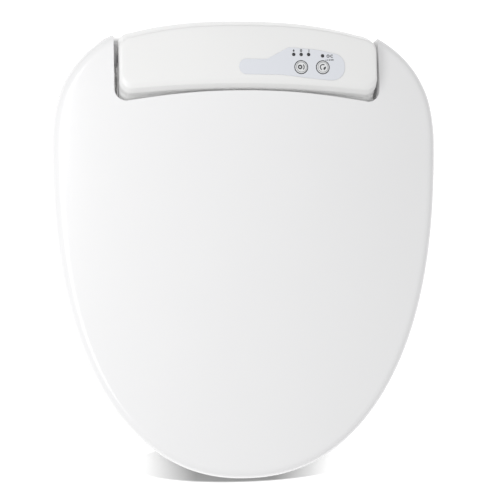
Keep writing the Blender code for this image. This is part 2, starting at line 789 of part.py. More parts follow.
def add_nozzle():
    channel = rings_solid([[(a, y, b) for a, b in guide_profile()] for y in (9, 96)])
    guide = add("nozzle_guide", in_nozzle(channel), "inner_white")
    foot = tool("guide_foot", box((-8, 176, 8.2), (8, 196, 31)))
    keep = tool("guide_bore", in_nozzle(rod((0, 5, 0), (0, 110, 0), WAND_R + 0.4)))
    join(guide, foot)
    cut(guide, keep)
    on = pivot("nozzle_pivot", NOZZLE_FRONT)
    wand = add("nozzle_wand", in_nozzle(rod((0, 12.3, 0), (0, WAND_LENGTH, 0), WAND_R)), "inner_white", on)
    rack = tool("wand_rack", in_nozzle(prism(rack_outline(14, 97), -2.2, 2.2, "X")))
    join(wand, rack)
    tip = add("nozzle_tip", in_nozzle(rod((0, 4.2, 0), (0, 12, 0), WAND_R - 0.4, 16)), "steel", on)
    flat = tool("tip_flat", in_nozzle(box((-6, -2, 3.6), (6, 10, 8))))
    jets = [in_nozzle(rod((0, y, 2.6), (0, y, 5.0), 0.7, 6)) for y in (6.2, 8.6)]
    cut(tip, flat, tool("tip_jets", merge(*jets)))
    shield = add("nozzle_shield", box((-9.2, BASE_FRONT_Y + 0.3, 9.8), (9.2, BASE_FRONT_Y + 2.2, 25.0)), "white", on)
    soften(shield, 0.5)
    add_nozzle_drive()


def add_nozzle_drive():
    height = RACK_PITCH_HEIGHT + PINION_TEETH * GEAR_MODULE / 2
    centre = nozzle_frame() @ Vector((0, PINION_BACK, height))
    on = pivot("pinion_pivot", centre)
    wheel = [(PINION_BACK + a, height + b) for a, b in gear_outline(PINION_TEETH, GEAR_MODULE)]
    pinion = add("nozzle_pinion", in_nozzle(prism(wheel, -2.2, 2.2, "X")), "inner_white", on)
    axle = tool("pinion_axle", in_nozzle(rod((-2.0, PINION_BACK, height), (13, PINION_BACK, height), 2.0, 16)))
    join(pinion, axle)
    motor = add("nozzle_motor", in_nozzle(rod((9.6, PINION_BACK, height), (28, PINION_BACK, height), 10.0)), "steel")
    cut(motor, tool("motor_bore", in_nozzle(rod((9, PINION_BACK, height), (14, PINION_BACK, height), 2.4, 16))))


def add_air_parts():
    x, y = BLOWER_X, BLOWER_Y
    scroll = add("blower_housing", rod((x, y, 14), (x, y, 36), BLOWER_R, 32), "black")
    throat = tool("blower_throat", box((x - 15, 127.3, 14), (x + 8, y - 10, 30)))
    hollow = tool("blower_hollow", rod((x, y, 16), (x, y, 34), BLOWER_R - 2, 32))
    passage = tool("throat_hollow", box((x - 13, 120, 16), (x + 6, y - 10, 28)))
    inlet = tool("blower_inlet", rod((x, y, 10), (x, y, 20), 16))
    shaft_hole = tool("blower_shaft_hole", rod((x, y, 30), (x, y, 40), 3.0, 12))
    join(scroll, throat)
    for number in range(3):
        a = pi / 2 + 2 * pi * number / 3
        foot_x, foot_y = x + 26 * cos(a), y + 26 * sin(a)
        join(scroll, tool(f"blower_foot_{number}", rod((foot_x, foot_y, 8.2), (foot_x, foot_y, 15), 3.0, 8)))
    cut(scroll, hollow, passage, inlet, shaft_hole)
    add_impeller(x, y)
    motor = add("blower_motor", rod((x, y, 36.3), (x, y, 58), 15.0, 24), "steel")
    cut(motor, tool("blower_motor_bore", rod((x, y, 30), (x, y, 44), 2.4, 12)))
    duct = add("dryer_duct", box((39, 121.0, 12.2), (71, 127.0, 31)), "inner_white")
    cut(duct, tool("duct_hollow", box((41, 119.0, 13.3), (69, 129.0, 25.0))))
    on = pivot("dryer_flap_pivot", (55, BASE_FRONT_Y + 1.2, 24.6))
    flap = add("dryer_flap", box((38.6, BASE_FRONT_Y + 0.2, 11.2), (71.4, BASE_FRONT_Y + 1.6, 25.0)), "white", on)
    soften(flap, 0.3)


def add_impeller(x, y):
    """A hub and back disc with blades round the rim."""
    blades, outer_r, inner_r = 16, 25.0, 18.0
    on = pivot("impeller_pivot", (x, y, 25))
    wheel = add("blower_impeller", rod((x, y, 29.8), (x, y, 32), outer_r, 32), "inner_white", on)
    hub = tool("impeller_hub", rod((x, y, 26), (x, y, 42), 2.0, 12))
    join(wheel, hub)
    for number in range(blades):
        turn = Matrix.Translation((x, y, 0)) @ Matrix.Rotation(2 * pi * number / blades, 4, "Z")
        blade = box((inner_r, -0.6, 18.5), (outer_r - 0.6, 0.6, 30.5))
        bmesh.ops.rotate(blade, verts=blade.verts, cent=(inner_r, 0, 0), matrix=Matrix.Rotation(0.6, 3, "Z"))
        bmesh.ops.transform(blade, matrix=turn, verts=blade.verts)
        join(wheel, tool(f"blade_{number}", blade))


def add_electric_parts():
    board = add("main_board", box((94, 146, 16), (117, 178, 17.6)), "board")
    parts = {
        "stand": ((95, 148, 8.2), (99, 176, 17)),
        "relay": ((98, 149, 17), (109, 160, 32)),
        "transformer": ((98, 163, 17), (112, 176, 36)),
        "heatsink": ((112, 149, 17), (115, 160, 40)),
    }
    for name, (low, high) in parts.items():
        join(board, tool(f"board_{name}", box(low, high)))
    gland = add("cord_gland", rod((122, 206, 16), (135.5, 206, 16), 4.9, 20), "black")
    flange = tool("gland_flange", rod((129.7, 206, 16), (132.2, 206, 16), 7.5, 20))
    join(gland, flange)
    cut(gland, tool("gland_bore", rod((120, 206, 16), (137, 206, 16), 3.2, 16)))


# ---------------------------------------------------------------- hinges, seat and lid


def d_profile(radius, flat, steps=16):
    """A circle with its top cut flat at a height, so that a shaft turns its boss."""
    open_angle = degrees(acos(flat / radius))
    return arc((HINGE_Y, HINGE_Z), radius, 90 + open_angle, 450 - open_angle, steps)


def add_dampers(seat_on, lid_on):
    """Each damper sits in the console and turns one shaft: the seat's on the left, the lid's on the right."""
    for side, name, on in ((-1, "seat", seat_on), (1, "lid", lid_on)):
        inner, outer = sorted((side * 97.0, side * 126.3))
        body = add(f"{name}_damper", rod((inner, HINGE_Y, HINGE_Z), (outer, HINGE_Y, HINGE_Z), 10.5), "black")
        low, high = sorted((side * 116.0, side * 130.0))
        bore = tool(f"{name}_damper_bore", rod((low, HINGE_Y, HINGE_Z), (high, HINGE_Y, HINGE_Z), SHAFT_R + 0.4))
        cut(body, bore)
        low, high = sorted((side * 117.0, side * 145.5))
        add(f"{name}_hinge_shaft", prism(d_profile(SHAFT_R, 3.2), low, high, "X"), "steel", on)


def arm_outline():
    """Side view of a seat arm: a knuckle on the hinge line, and a swan neck down to the ring.

    The neck leaves the knuckle level, so that the lid's ear can swing down behind it.
    """
    knuckle = arc((HINGE_Y, HINGE_Z), KNUCKLE_R, 120, -100, 12)
    lower = [(181, 55.0), (165, 54.0), (150, 49.0), (99, 31.5)]
    upper = [(99, 39.5), (144, 58.0), (162, 64.5), (182, 67.0)]
    return knuckle + lower + upper


def add_seat(on):
    count = 48
    shell = add("seat_top_shell", rings_solid(seat_ring(seat_shell_section, count), closed=True), "seat_white", on)
    for side, name in ((-1, "left"), (1, "right")):
        low, high = sorted((side * 137.4, side * 146.8))
        arm = tool(f"seat_arm_{name}", prism(arm_outline(), low, high, "X"))
        join(shell, arm)
        radius = SHAFT_R + GAP if side < 0 else SHAFT_R + 0.4
        outline = d_profile(radius, 3.2 + GAP) if side < 0 else d_profile(radius, radius - 0.05)
        cut(shell, tool(f"seat_eye_{name}", prism(outline, low - 1, high + 1, "X")))
    add("seat_bottom_plate", rings_solid(seat_ring(seat_plate_section, count), closed=True), "inner_white", on)
    film = seat_ring(seat_film_section, count, -18, 19)
    add("seat_heating_film", rings_solid(film), "foil", on)
    sensor = rings_solid([[(x, y, z) for x, y in rounded_rectangle(132, -40, 150, 10, 4)] for z in (14.0, 15.2)])
    add("seat_sensor", sensor, "board", on)
    for number, (x, y) in enumerate(SEAT_BUMPER_SPOTS, 1):
        plans = ((1.2, 0.0), (0.0, 1.5), (0.0, SEAT_FLOOR_Z - GAP))
        rings = []
        for inset, z in plans:
            plan = rounded_rectangle(x - 8 + inset, y - 16 + inset, x + 8 - inset, y + 16 - inset, 7.9 - inset, 3)
            rings.append([(px, py, z) for px, py in plan])
        add(f"seat_bumper_{number}", rings_solid(rings), "rubber", on)


def add_lid(on):
    lid = add("lid_shell", lid_shell_mesh(), "white", on)
    cut(lid, tool("lid_notch", rings_solid([notch_ring(z) for z in (0, 84, 88, 92, 96, 100, 130)])))
    block = tool("lid_block", lid_block_mesh(1.5))
    for side, name in ((-1, "left"), (1, "right")):
        low, high = sorted((side * (NOTCH_HALF - 0.3), side * (NOTCH_HALF + 2.9)))
        rib = tool(f"lid_rib_{name}", box((low, 161, 46), (high, 214, 120)))
        apply_tool(rib, block, "INTERSECT")
        low, high = sorted((side * 130.0, side * 136.9))
        boss = tool(f"lid_boss_{name}", rod((low, HINGE_Y, HINGE_Z), (high, HINGE_Y, HINGE_Z), KNUCKLE_R))
        web = tool(f"lid_web_{name}", box((low, 197, 52), (high, 209, 68)))
        join(lid, rib, boss, web)
        radius = SHAFT_R + GAP if side > 0 else SHAFT_R + 0.4
        outline = d_profile(radius, 3.2 + GAP) if side > 0 else d_profile(radius, radius - 0.05)
        cut(lid, tool(f"lid_eye_{name}", prism(outline, low - 1, high + 1, "X")))
    for number, (x, y) in enumerate(LID_BUMPER_SPOTS, 1):
        top = min(lid_top(x + a, y + b) for a in (-4, 4) for b in (-4, 4)) - LID_WALL - 1.6
        foot = seat_top(y) + 1.9
        add(f"lid_bumper_{number}", turned(((3.0, foot), (4.5, foot + 1), (4.5, top)), x, y, 12), "rubber", on)


def notch_front(x, z):
    """The notch's front edge: hollowed about the hinge line, so that it clears the console's nose."""
    sweep = NOTCH_SWEEP_R + NOTCH_SWEEP_GROWTH * (x / CONSOLE_HALF) ** 2
    height = min(max(z, 84.0), 100.0) - HINGE_Z
    return HINGE_Y - sqrt(sweep**2 - height**2)


def notch_ring(z):
    """The notch at one height, with round corners and an open rear."""
    reach = NOTCH_HALF - CONSOLE_ROUND
    front = [(reach * i / 6, notch_front(reach * i / 6, z)) for i in range(-6, 7)]
    corner_y = front[-1][1] + CONSOLE_ROUND
    left = arc((-reach, corner_y), CONSOLE_ROUND, 180, 270, 5)
    right = arc((reach, corner_y), CONSOLE_ROUND, 270, 360, 5)
    plan = [(-NOTCH_HALF, 260)] + left[:-1] + front + right[1:] + [(NOTCH_HALF, 260)]
    return [(x, y, z) for x, y in plan]


def build():
    clear_scene()
    seat_on = pivot("seat_pivot", (0, HINGE_Y, HINGE_Z))
    lid_on = pivot("lid_pivot", (0, HINGE_Y, HINGE_Z))
    add_base_housing()
    add_rear_cover()
    add_control_panel()
    add_screws()
    add_mounting()
    add_water_parts()
    add_nozzle()
    add_air_parts()
    add_electric_parts()
    add_dampers(seat_on, lid_on)
    add_seat(seat_on)
    add_lid(lid_on)


build()
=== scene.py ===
"""Electric bidet seat, closed, on a pale studio floor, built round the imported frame.

Shapes are worked out in millimetres in the frame's axes (x right, y to the rear, z up) and stored in
metres. The studio floor, its light and the camera are given in metres.
"""

import json
from math import acos, atan2, cos, degrees, hypot, pi, radians, sin, sqrt, tan

import bmesh
import bpy
import numpy as np
from mathutils import Matrix, Vector
from mathutils.geometry import delaunay_2d_cdt


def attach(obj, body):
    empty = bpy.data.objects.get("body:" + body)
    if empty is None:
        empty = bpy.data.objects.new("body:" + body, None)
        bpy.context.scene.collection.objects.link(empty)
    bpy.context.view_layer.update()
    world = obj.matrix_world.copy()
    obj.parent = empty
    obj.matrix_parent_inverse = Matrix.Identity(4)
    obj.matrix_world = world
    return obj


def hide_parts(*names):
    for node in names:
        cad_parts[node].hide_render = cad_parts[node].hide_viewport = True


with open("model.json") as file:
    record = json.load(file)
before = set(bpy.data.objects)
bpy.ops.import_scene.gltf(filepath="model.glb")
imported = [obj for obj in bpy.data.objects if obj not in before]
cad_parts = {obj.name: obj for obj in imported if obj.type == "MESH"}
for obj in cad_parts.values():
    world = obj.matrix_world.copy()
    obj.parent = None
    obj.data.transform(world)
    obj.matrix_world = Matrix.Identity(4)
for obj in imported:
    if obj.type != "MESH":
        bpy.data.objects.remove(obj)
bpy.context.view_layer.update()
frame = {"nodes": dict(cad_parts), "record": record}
nodes = frame["nodes"]
MM = 0.001

# Finish of every moulded surface, in metres
COAT_ROUGHNESS = 0.06
SCATTER_DEPTH = 0.004
GRAIN_DEPTH = 0.0004

# Lid outline: a front and a rear half of superellipses, with powers for y and x
HALF_WIDTH = 196.0
HALF_DEPTH = 235.0
WIDEST_Y = 95.0
FRONT_POWERS = (2.35, 2.2)
REAR_POWERS = (2.45, 3.0)

# Lid section
LID_WALL = 3.0
LID_ROUND = 10.0  # of the outer edge
LIP_ROUND = 0.6  # of the notch's edge
CREST_Y = 155.0  # where the lid is highest
LID_FRONT_Z = 40.0
LID_RISE = 56.0
LID_RISE_POWER = 1.2
LID_CROWN = 4.0
LID_SIDE_DROP = (6.0, 8.0)  # at the front tip, and what is added to it by the crest
LID_SIDE_POWER = 2.2
EAR_FALL = 6.0
SKIRT_FRONT_Z = 16.0
SKIRT_RISE = 34.0
SKIRT_RISE_POWER = 1.3

# The lid's notch round the console, and the ear at each side of it
NOTCH_HALF = 133.5
NOTCH_CORNER = 12.0
NOTCH_SWEEP_R = 52.1  # of its front edge about the hinge line, in the middle
NOTCH_SWEEP_GROWTH = 4.7  # and how much more it is at the console's ends
NOTCH_Z_RANGE = (84.0, 100.0)
NOTCH_GUESS_Y = 152.0
RIB_START_X = 131.0
RIB_FULL_X = NOTCH_HALF - 0.4
RIB_FLOOR_Z = 46.0
EARS_BEHIND_Y = 150.0
EAR_TIP_CUT = 4.5
EAR_TIP_REACH = 0.55
BOSS_SPAN = (130.0, 136.9)
BOSS_EDGE = 0.6
WEB_FOOT = (197, 52)  # y and z of the boss's web
WEB_TOP = (209, 68)

# Rows of points that follow the lid's edge inwards, outside and in the hollow, and the grids between
FACE_RINGS = (0.15, 0.4, 0.75, 1.2, 1.8, 2.5, 3.4, 4.5, 5.8, 7.2, 8.7, 10.3, 12.5)
HOLLOW_RINGS = (3.4, 4.0, 5.0, 6.2, 7.6, 9.0, 10.4)
FACE_GRID = 4.5
HOLLOW_GRID = 6.0
GRID_CLEARANCE = 0.6  # between the last row and the grid, as a share of the grid's spacing
OUTLINE_SPACING = 2.4
ROW_SLACK = 0.03  # a row's points closer to another edge than this allows are left out
FOLD_SLACK = 0.12  # the same for the inner side of the walls
LEAST_WALL_HEIGHT = 0.05

# Hinge line and console
HINGE_Y = 194.0
HINGE_Z = 60.0
SHAFT_R = 4.0
KNUCKLE_R = 9.0
CONSOLE_HALF = 129.3
CONSOLE_ROUND = 12.0
CONSOLE_WALL = 2.5
REAR_SAG = 17.0
REAR_SAG_POWER = 2.4
PARTING_Z = 72.0
TOP_Z = 103.0
TOP_MARGIN = 3.0  # of the row of points inside the top face's edge
SCREW_SPOTS = ((-112, 138), (112, 138), (-88, 207), (88, 207))

# Console levels, from the bottom up: z, front y, rear y, how far the sides move in, and the front's sag
COVER_LEVELS = (
    (72.0, 118.0, 231.3, 0.0, 0.0),
    (74.0, 120.0, 230.8, 0.0, 0.0),
    (80.5, 149.0, 228.8, 0.0, 5.5),
    (87.0, 157.0, 226.4, 0.0, 7.4),
    (95.0, 158.6, 223.0, 0.2, 7.4),
    (100.8, 162.3, 220.6, 0.8, 7.4),
    (102.7, 167.0, 219.0, 2.2, 7.4),
    (103.0, 170.0, 217.2, 4.0, 7.4),
)
BASE_LEVELS = (
    (5.3, 120.0, 229.0, 2.0, 0.0),
    (9.3, 118.0, 232.0, 0.0, 0.0),
    (50.0, 118.0, 235.0, 0.0, 0.0),
    (71.7, 118.0, 231.4, 0.0, 0.0),
)

# Control panel
LABEL_Z = 103.3
LABEL_TOP = 103.8
LABEL_BEVEL = (0.25, 0.2)  # across and down
PRINT_HEIGHT = 0.03
BUTTON_R = 6.0
BUTTON_TOP = LABEL_TOP + 0.8
BUTTON_HOLE_R = BUTTON_R + 0.4
BUTTONS = {"power": (50.7, 178.1), "timer": (72.5, 178.1)}
LEDS = {"water": (43.4, 190.8), "seat": (50.9, 190.8), "dryer": (58.4, 190.8), "timer": (72.5, 189.6)}
LED_R = 1.5
LED_HOLE_R = LED_R + 0.3
HOLE_FLOOR_Z = 96.0

# The label's corners: x, y and radius
LABEL_CORNERS = (
    (-11.2, 171.0, 7.3),
    (31.0, 170.6, 60.0),
    (62.0, 167.0, 80.0),
    (79.0, 165.4, 40.0),
    (94.9, 165.0, 12.6),
    (94.9, 189.8, 12.0),
    (66.0, 195.9, 60.0),
    (38.6, 197.9, 3.5),
    (16.6, 186.0, 5.0),
    (-11.2, 186.1, 7.3),
)

# Seat ring
SEAT_INSET = 8.5  # inside the lid's outline
SEAT_REAR_START_Y = 60.0
SEAT_REAR_Y = 115.0
SEAT_FRONT_TOP_Z = 30.0
SEAT_REAR_TOP_Z = 42.0
SEAT_FLOOR_Z = 8.0
SEAT_FLOOR_RISE = 18.0
SEAT_BAR_START_Y = 55.0
SEAT_BAR_RAMP = 33.0
SEAT_WALL = 3.0
SEAT_EDGE = (0.4, 0.6)  # the small chamfer of its lower edges, across and up
OPENING_Y = -22.0
OPENING_HALF_WIDTH = 104.0
OPENING_FRONT = 120.0
OPENING_REAR = 114.0
OPENING_POWER = 0.92

# The ring's section: share of its width from the outside, and height over its crest line
SEAT_PROFILE = (
    (0.0, -9.0),
    (0.03, -4.0),
    (0.11, -1.0),
    (0.30, 1.2),
    (0.52, 1.5),
    (0.74, -0.6),
    (0.90, -4.5),
    (1.0, -10.0),
)

# The seat's arms: their two sides, and the outline of each from its knuckle round, as y and z
ARM_SPAN = (137.4, 146.8)
ARM_BEVEL = 1.2
ARM_UNDERSIDE = [(181.0, 55.0), (165.0, 54.0), (150.0, 49.0), (99.0, 31.5)]
ARM_TOP_SIDE = [(99.0, 39.5), (144.0, 58.0), (162.0, 64.5), (182.0, 67.0)]

# Studio floor, in metres. A soft patch is an ellipse's centre, its radii, and where its fade starts
# and ends as a share of the way in. A radius of FAR makes it a band.
FLOOR_HALF = 12.0
FLOOR_COLOUR = (0.85, 0.85, 0.85)
FLOOR_DROP = 0.0005
# painted shadow colour, which the floor's colour turns to inside the painted shadows
SHADE_COLOUR = (0.4, 0.4, 0.4, 1.0)
FAR = 10.0
# painted light: the floor glows inside this patch, so that it reads as white round the object and shows no
# shadow there
GLOW = ((0.07, -0.06), (0.62, 0.62), 0.05, 0.92)
# painted shadow on the floor under the lid's front tip: an ellipse times a band across
FRONT_SHADE = (((0.006, -0.2215), (0.14, 0.0235), 0.0, 0.1), ((-0.01, 0.0), (0.14, FAR), 0.0, 0.7))
# painted shadow on the floor under the console: a band across times a band along
CONSOLE_SHADE = (((0.0, 0.0), (0.15, FAR), 0.0, 0.08), ((0.0, 0.186), (FAR, 0.046), 0.0, 0.15))

# Light: one broad lamp over the left side, and a sky that is dimmer towards the horizon
KEY_PLACE = (-0.6, -0.08, 0.85)
KEY_TARGET = (-0.6, -0.08, 0.0)
KEY_SIZE = (0.4, 1.3)
KEY_POWER = 4.7
SKY_LOW = 0.50
SKY_HIGH = 0.85

# Camera, almost straight above the object
CAMERA_PLACE = (-0.159, -0.055, 1.200)
CAMERA_TARGET = (-0.0008, 0.0038, 0.05)
CAMERA_ROLL = 0.02
CAMERA_LENS = 82.93
SENSOR_WIDTH = 36.0


# ---------------------------------------------------------------- materials


def surface(
    name,
    colour,
    roughness=0.3,
    metallic=0.0,
    tint=0.015,
    tint_scale=9.0,
    rough_vary=0.04,
    grain=0.02,
    grain_scale=2200.0,
    coat=0.0,
    soft=0.0,
    specular=0.5,
):
    """A moulded finish: slow colour drift, uneven gloss and a fine grain in the bump."""
    made = bpy.data.materials.new(name)
    made.use_nodes = True
    tree = made.node_tree
    shader = tree.nodes["Principled BSDF"]
    place = tree.nodes.new("ShaderNodeTexCoord")
    shader.inputs["Metallic"].default_value = metallic
    shader.inputs["Specular IOR Level"].default_value = specular
    shader.inputs["Coat Weight"].default_value = coat
    shader.inputs["Coat Roughness"].default_value = COAT_ROUGHNESS
    shader.inputs["Subsurface Weight"].default_value = soft
    shader.inputs["Subsurface Scale"].default_value = SCATTER_DEPTH

    def noise(scale, detail):
        node = tree.nodes.new("ShaderNodeTexNoise")
        node.inputs["Scale"].default_value = scale
        node.inputs["Detail"].default_value = detail
        tree.links.new(place.outputs["Object"], node.inputs["Vector"])
        return node.outputs["Fac"]

    drift = tree.nodes.new("ShaderNodeMapRange")
    drift.inputs["From Min"].default_value = 0.3
    drift.inputs["From Max"].default_value = 0.7
    tree.links.new(noise(tint_scale, 3.0), drift.inputs["Value"])
    mix = tree.nodes.new("ShaderNodeMix")
    mix.data_type = "RGBA"
    low = [max(c - tint, 0.0) for c in colour]
    high = [min(c + tint * 0.6, 1.0) for c in colour]
    mix.inputs[6].default_value = (*low, 1.0)
    mix.inputs[7].default_value = (*high, 1.0)
    tree.links.new(drift.outputs["Result"], mix.inputs["Factor"])
    tree.links.new(mix.outputs[2], shader.inputs["Base Color"])

    gloss_scale = tint_scale * 7
    uneven = tree.nodes.new("ShaderNodeMapRange")
    uneven.inputs["To Min"].default_value = max(roughness - rough_vary, 0.02)
    uneven.inputs["To Max"].default_value = min(roughness + rough_vary, 1.0)
    tree.links.new(noise(gloss_scale, 4.0), uneven.inputs["Value"])
    tree.links.new(uneven.outputs["Result"], shader.inputs["Roughness"])

    bump = tree.nodes.new("ShaderNodeBump")
    bump.inputs["Strength"].default_value = grain
    bump.inputs["Distance"].default_value = GRAIN_DEPTH
    tree.links.new(noise(grain_scale, 2.0), bump.inputs["Height"])
    tree.links.new(bump.outputs["Normal"], shader.inputs["Normal"])
    return made


LOOK = {
    "lid_white": surface(
        "lid_white", (0.86, 0.86, 0.865), 0.2, tint=0.006, grain=0.006, grain_scale=700, coat=0.25
    ),
    "console_white": surface("console_white", (0.86, 0.86, 0.855), 0.3, tint=0.006, grain=0.02, coat=0.1),
    "base_white": surface("base_white", (0.82, 0.81, 0.81), 0.34, tint=0.008, grain=0.03),
    "seat_white": surface(
        "seat_white", (0.83, 0.83, 0.825), 0.2, tint=0.006, grain=0.006, grain_scale=700, coat=0.2
    ),
    "inner_white": surface("inner_white", (0.70, 0.70, 0.69), 0.5, tint=0.02, grain=0.05, grain_scale=1500),
    "label_film": surface("label_film", (0.752, 0.772, 0.818), 0.4, tint=0.006, grain=0.05, grain_scale=3500),
    "button_face": surface("button_face", (0.78, 0.79, 0.80), 0.32, tint=0.01, grain=0.03),
    "ink": surface("ink", (0.045, 0.047, 0.052), 0.5, tint=0.01, grain=0.03),
    "lens": surface("lens", (0.012, 0.012, 0.015), 0.12, tint=0.003, grain=0.0, coat=0.6),
    "rubber": surface(
        "rubber", (0.42, 0.43, 0.44), 0.75, tint=0.02, grain=0.15, grain_scale=1800, specular=0.3
    ),
    "black_plastic": surface(
        "black_plastic", (0.03, 0.03, 0.032), 0.5, tint=0.006, grain=0.12, grain_scale=1800
    ),
    "board": surface("board", (0.015, 0.13, 0.05), 0.4, tint=0.012, tint_scale=120, grain=0.05, coat=0.3),
    "steel": surface("steel", (0.52, 0.52, 0.54), 0.32, metallic=1.0, tint=0.03, rough_vary=0.1, grain=0.04),
    "foil": surface("foil", (0.68, 0.68, 0.70), 0.38, metallic=1.0, tint=0.04, tint_scale=60, grain=0.12),
    "hose": surface("hose", (0.74, 0.79, 0.82), 0.35, tint=0.01, grain=0.03, soft=0.1),
    "filter": surface("filter", (0.08, 0.20, 0.46), 0.45, tint=0.02, grain=0.1, grain_scale=2600),
}

SLOT_LOOK = {
    "white_plastic": "base_white",
    "seat_plastic": "seat_white",
    "inner_plastic": "inner_white",
    "label_film": "label_film",
    "button_plastic": "button_face",
    "led_lens": "lens",
    "rubber": "rubber",
    "black_plastic": "black_plastic",
    "circuit_board": "board",
    "steel": "steel",
    "foil": "foil",
    "hose_plastic": "hose",
    "filter_plastic": "filter",
}


def look_of_nodes():
    """Every carried-over node gets the finish of its material slot."""
    for entry in frame["record"]["subparts"]:
        node = nodes[entry["node"]]
        node.data.materials.clear()
        node.data.materials.append(LOOK[SLOT_LOOK[entry["material_slot"]]])


# ---------------------------------------------------------------- shape helpers


def placed(name, data):
    made = bpy.data.objects.new(name, data)
    bpy.context.scene.collection.objects.link(made)
    return made


def drawn_mesh(name, bm):
    """The drawing in bm, in millimetres, as a mesh in metres."""
    bmesh.ops.scale(bm, verts=bm.verts, vec=(MM, MM, MM))
    bmesh.ops.recalc_face_normals(bm, faces=bm.faces)
    mesh = bpy.data.meshes.new(name)
    bm.to_mesh(mesh)
    bm.free()
    return mesh


def smoothed(mesh, sharp):
    """Smooth shading, but for edges that turn by more than an angle in degrees."""
    mesh.shade_smooth()
    mesh.set_sharp_from_angle(angle=radians(sharp))


def add_piece(name, bm, look, body, sharp=32.0):
    """The drawing in bm as a piece that rides on a body."""
    mesh = drawn_mesh(name, bm)
    smoothed(mesh, sharp)
    mesh.materials.append(LOOK[look])
    made = placed(name, mesh)
    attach(made, body)
    return made


def arc(centre, radius, start, end, steps):
    """Points on an arc between two angles in degrees, ends included."""
    angles = [radians(start + (end - start) * i / steps) for i in range(steps + 1)]
    return [(centre[0] + radius * cos(a), centre[1] + radius * sin(a)) for a in angles]


def filleted(corners, step=9.0):
    """A closed outline through (x, y, radius) corners, each rounded to its radius."""
    points = []
    count = len(corners)
    for i, (x, y, radius) in enumerate(corners):
        here = Vector((x, y))
        before = (Vector(corners[i - 1][:2]) - here).normalized()
        after = (Vector(corners[(i + 1) % count][:2]) - here).normalized()
        if radius <= 0:
            points.append((x, y))
            continue
        half = acos(max(min(before.dot(after), 1.0), -1.0)) / 2
        centre = here + (before + after).normalized() * radius / sin(half)
        start = here + before * radius / tan(half) - centre
        end = here + after * radius / tan(half) - centre
        a, b = atan2(start.y, start.x), atan2(end.y, end.x)
        turn = (b - a + pi) % (2 * pi) - pi
        steps = max(2, int(abs(degrees(turn)) / step))
        for k in range(steps + 1):
            angle = a + turn * k / steps
            points.append((centre.x + radius * cos(angle), centre.y + radius * sin(angle)))
    return points


def circle(x, y, radius, sides=48):
    angles = [2 * pi * i / sides for i in range(sides)]
    return [(x + radius * cos(a), y + radius * sin(a)) for a in angles]


def resampled(points, step):
    """Points at even distances along an open path, ends included."""
    lengths = [0.0]
    for a, b in zip(points, points[1:]):
        lengths.append(lengths[-1] + hypot(b[0] - a[0], b[1] - a[1]))
    count = max(2, round(lengths[-1] / step))
    wanted = np.linspace(0.0, lengths[-1], count + 1)
    xs = np.interp(wanted, lengths, [p[0] for p in points])
    ys = np.interp(wanted, lengths, [p[1] for p in points])
    return list(zip(xs.tolist(), ys.tolist()))


def inset_loop(points, inset):
    """A closed counterclockwise outline moved inwards."""
    moved = []
    count = len(points)
    for i, (x, y) in enumerate(points):
        before, after = points[i - 1], points[(i + 1) % count]
        dx, dy = after[0] - before[0], after[1] - before[1]
        length = hypot(dx, dy) or 1.0
        moved.append((x - inset * dy / length, y + inset * dx / length))
    return moved


def inside_loop(points, loop):
    """Which points of an array lie inside a closed outline."""
    loop = np.asarray(loop, float)
    inside = np.zeros(len(points), bool)
    for (ax, ay), (bx, by) in zip(loop, np.roll(loop, -1, 0)):
        crosses = (ay > points[:, 1]) != (by > points[:, 1])
        with np.errstate(divide="ignore", invalid="ignore"):
            at = (bx - ax) * (points[:, 1] - ay) / (by - ay) + ax
        inside ^= crosses & (points[:, 0] < at)
    return inside


def filled(loops, inside=()):
    """Triangles that fill a closed outline, less any holes, through extra points inside it.

    Returns the points, the triangles, and for each point the given points that it stands for.
    """
    points = []
    edges = []
    for loop in loops:
        first = len(points)
        points += [Vector(p) for p in loop]
        edges += [(first + i, first + (i + 1) % len(loop)) for i in range(len(loop))]
    points += [Vector(p) for p in inside]
    found, _, triangles, origin, _, _ = delaunay_2d_cdt(points, edges, [], 1, 1e-5)
    middles = np.array([sum((found[i] for i in t), Vector((0, 0))) / len(t) for t in triangles])
    open_space = np.zeros(len(triangles), bool)
    for hole in loops[1:]:
        open_space |= inside_loop(middles, hole)
    return found, [t for t, gone in zip(triangles, open_space) if not gone], origin


def loop_rows(verts, origin, loops):
    """The vertices that filled() gave each outline, in the outline's own order."""
    rows = []
    start = 0
    for loop in loops:
        row = [None] * len(loop)
        for vert, sources in zip(verts, origin):
            for source in sources:
                if start <= source < start + len(loop):
                    row[source - start] = vert
        rows.append(row)
        start += len(loop)
    return rows


def bridge(bm, low, high, closed=True):
    """Quads between two rows of vertices."""
    count = len(low)
    for i in range(count if closed else count - 1):
        j = (i + 1) % count
        bm.faces.new((low[i], low[j], high[j], high[i]))


def loft(bm, rings, closed=True):
    """Rows of quads between rings of points. Returns the rows of vertices."""
    rows = [[bm.verts.new(p) for p in ring] for ring in rings]
    for low, high in zip(rows, rows[1:]):
        bridge(bm, low, high, closed)
    return rows


def rod(start, end, radius, sides=48):
    bm = bmesh.new()
    start, end = Vector(start), Vector(end)
    along = end - start
    turn = along.to_track_quat("Z", "Y").to_matrix().to_4x4()
    place = Matrix.Translation((start + end) / 2) @ turn
    depth = along.length
    bmesh.ops.create_cone(
        bm, cap_ends=True, segments=sides, radius1=radius, radius2=radius, depth=depth, matrix=place
    )
    return bm


def block(low, high, bm=None):
    bm = bm or bmesh.new()
    size = [b - a for a, b in zip(low, high)]
    middle = [(a + b) / 2 for a, b in zip(low, high)]
    place = Matrix.Translation(middle) @ Matrix.Diagonal((*size, 1.0))
    bmesh.ops.create_cube(bm, size=1.0, matrix=place)
    return bm


def prism(bm, loop, low, high):
    """A flat plate between two heights."""
    rows = loft(bm, [[(x, y, low) for x, y in loop], [(x, y, high) for x, y in loop]])
    bm.faces.new(rows[0][::-1])
    bm.faces.new(rows[1])


def bar(bm, left, front, right, rear, low, high):
    prism(bm, [(left, front), (right, front), (right, rear), (left, rear)], low, high)


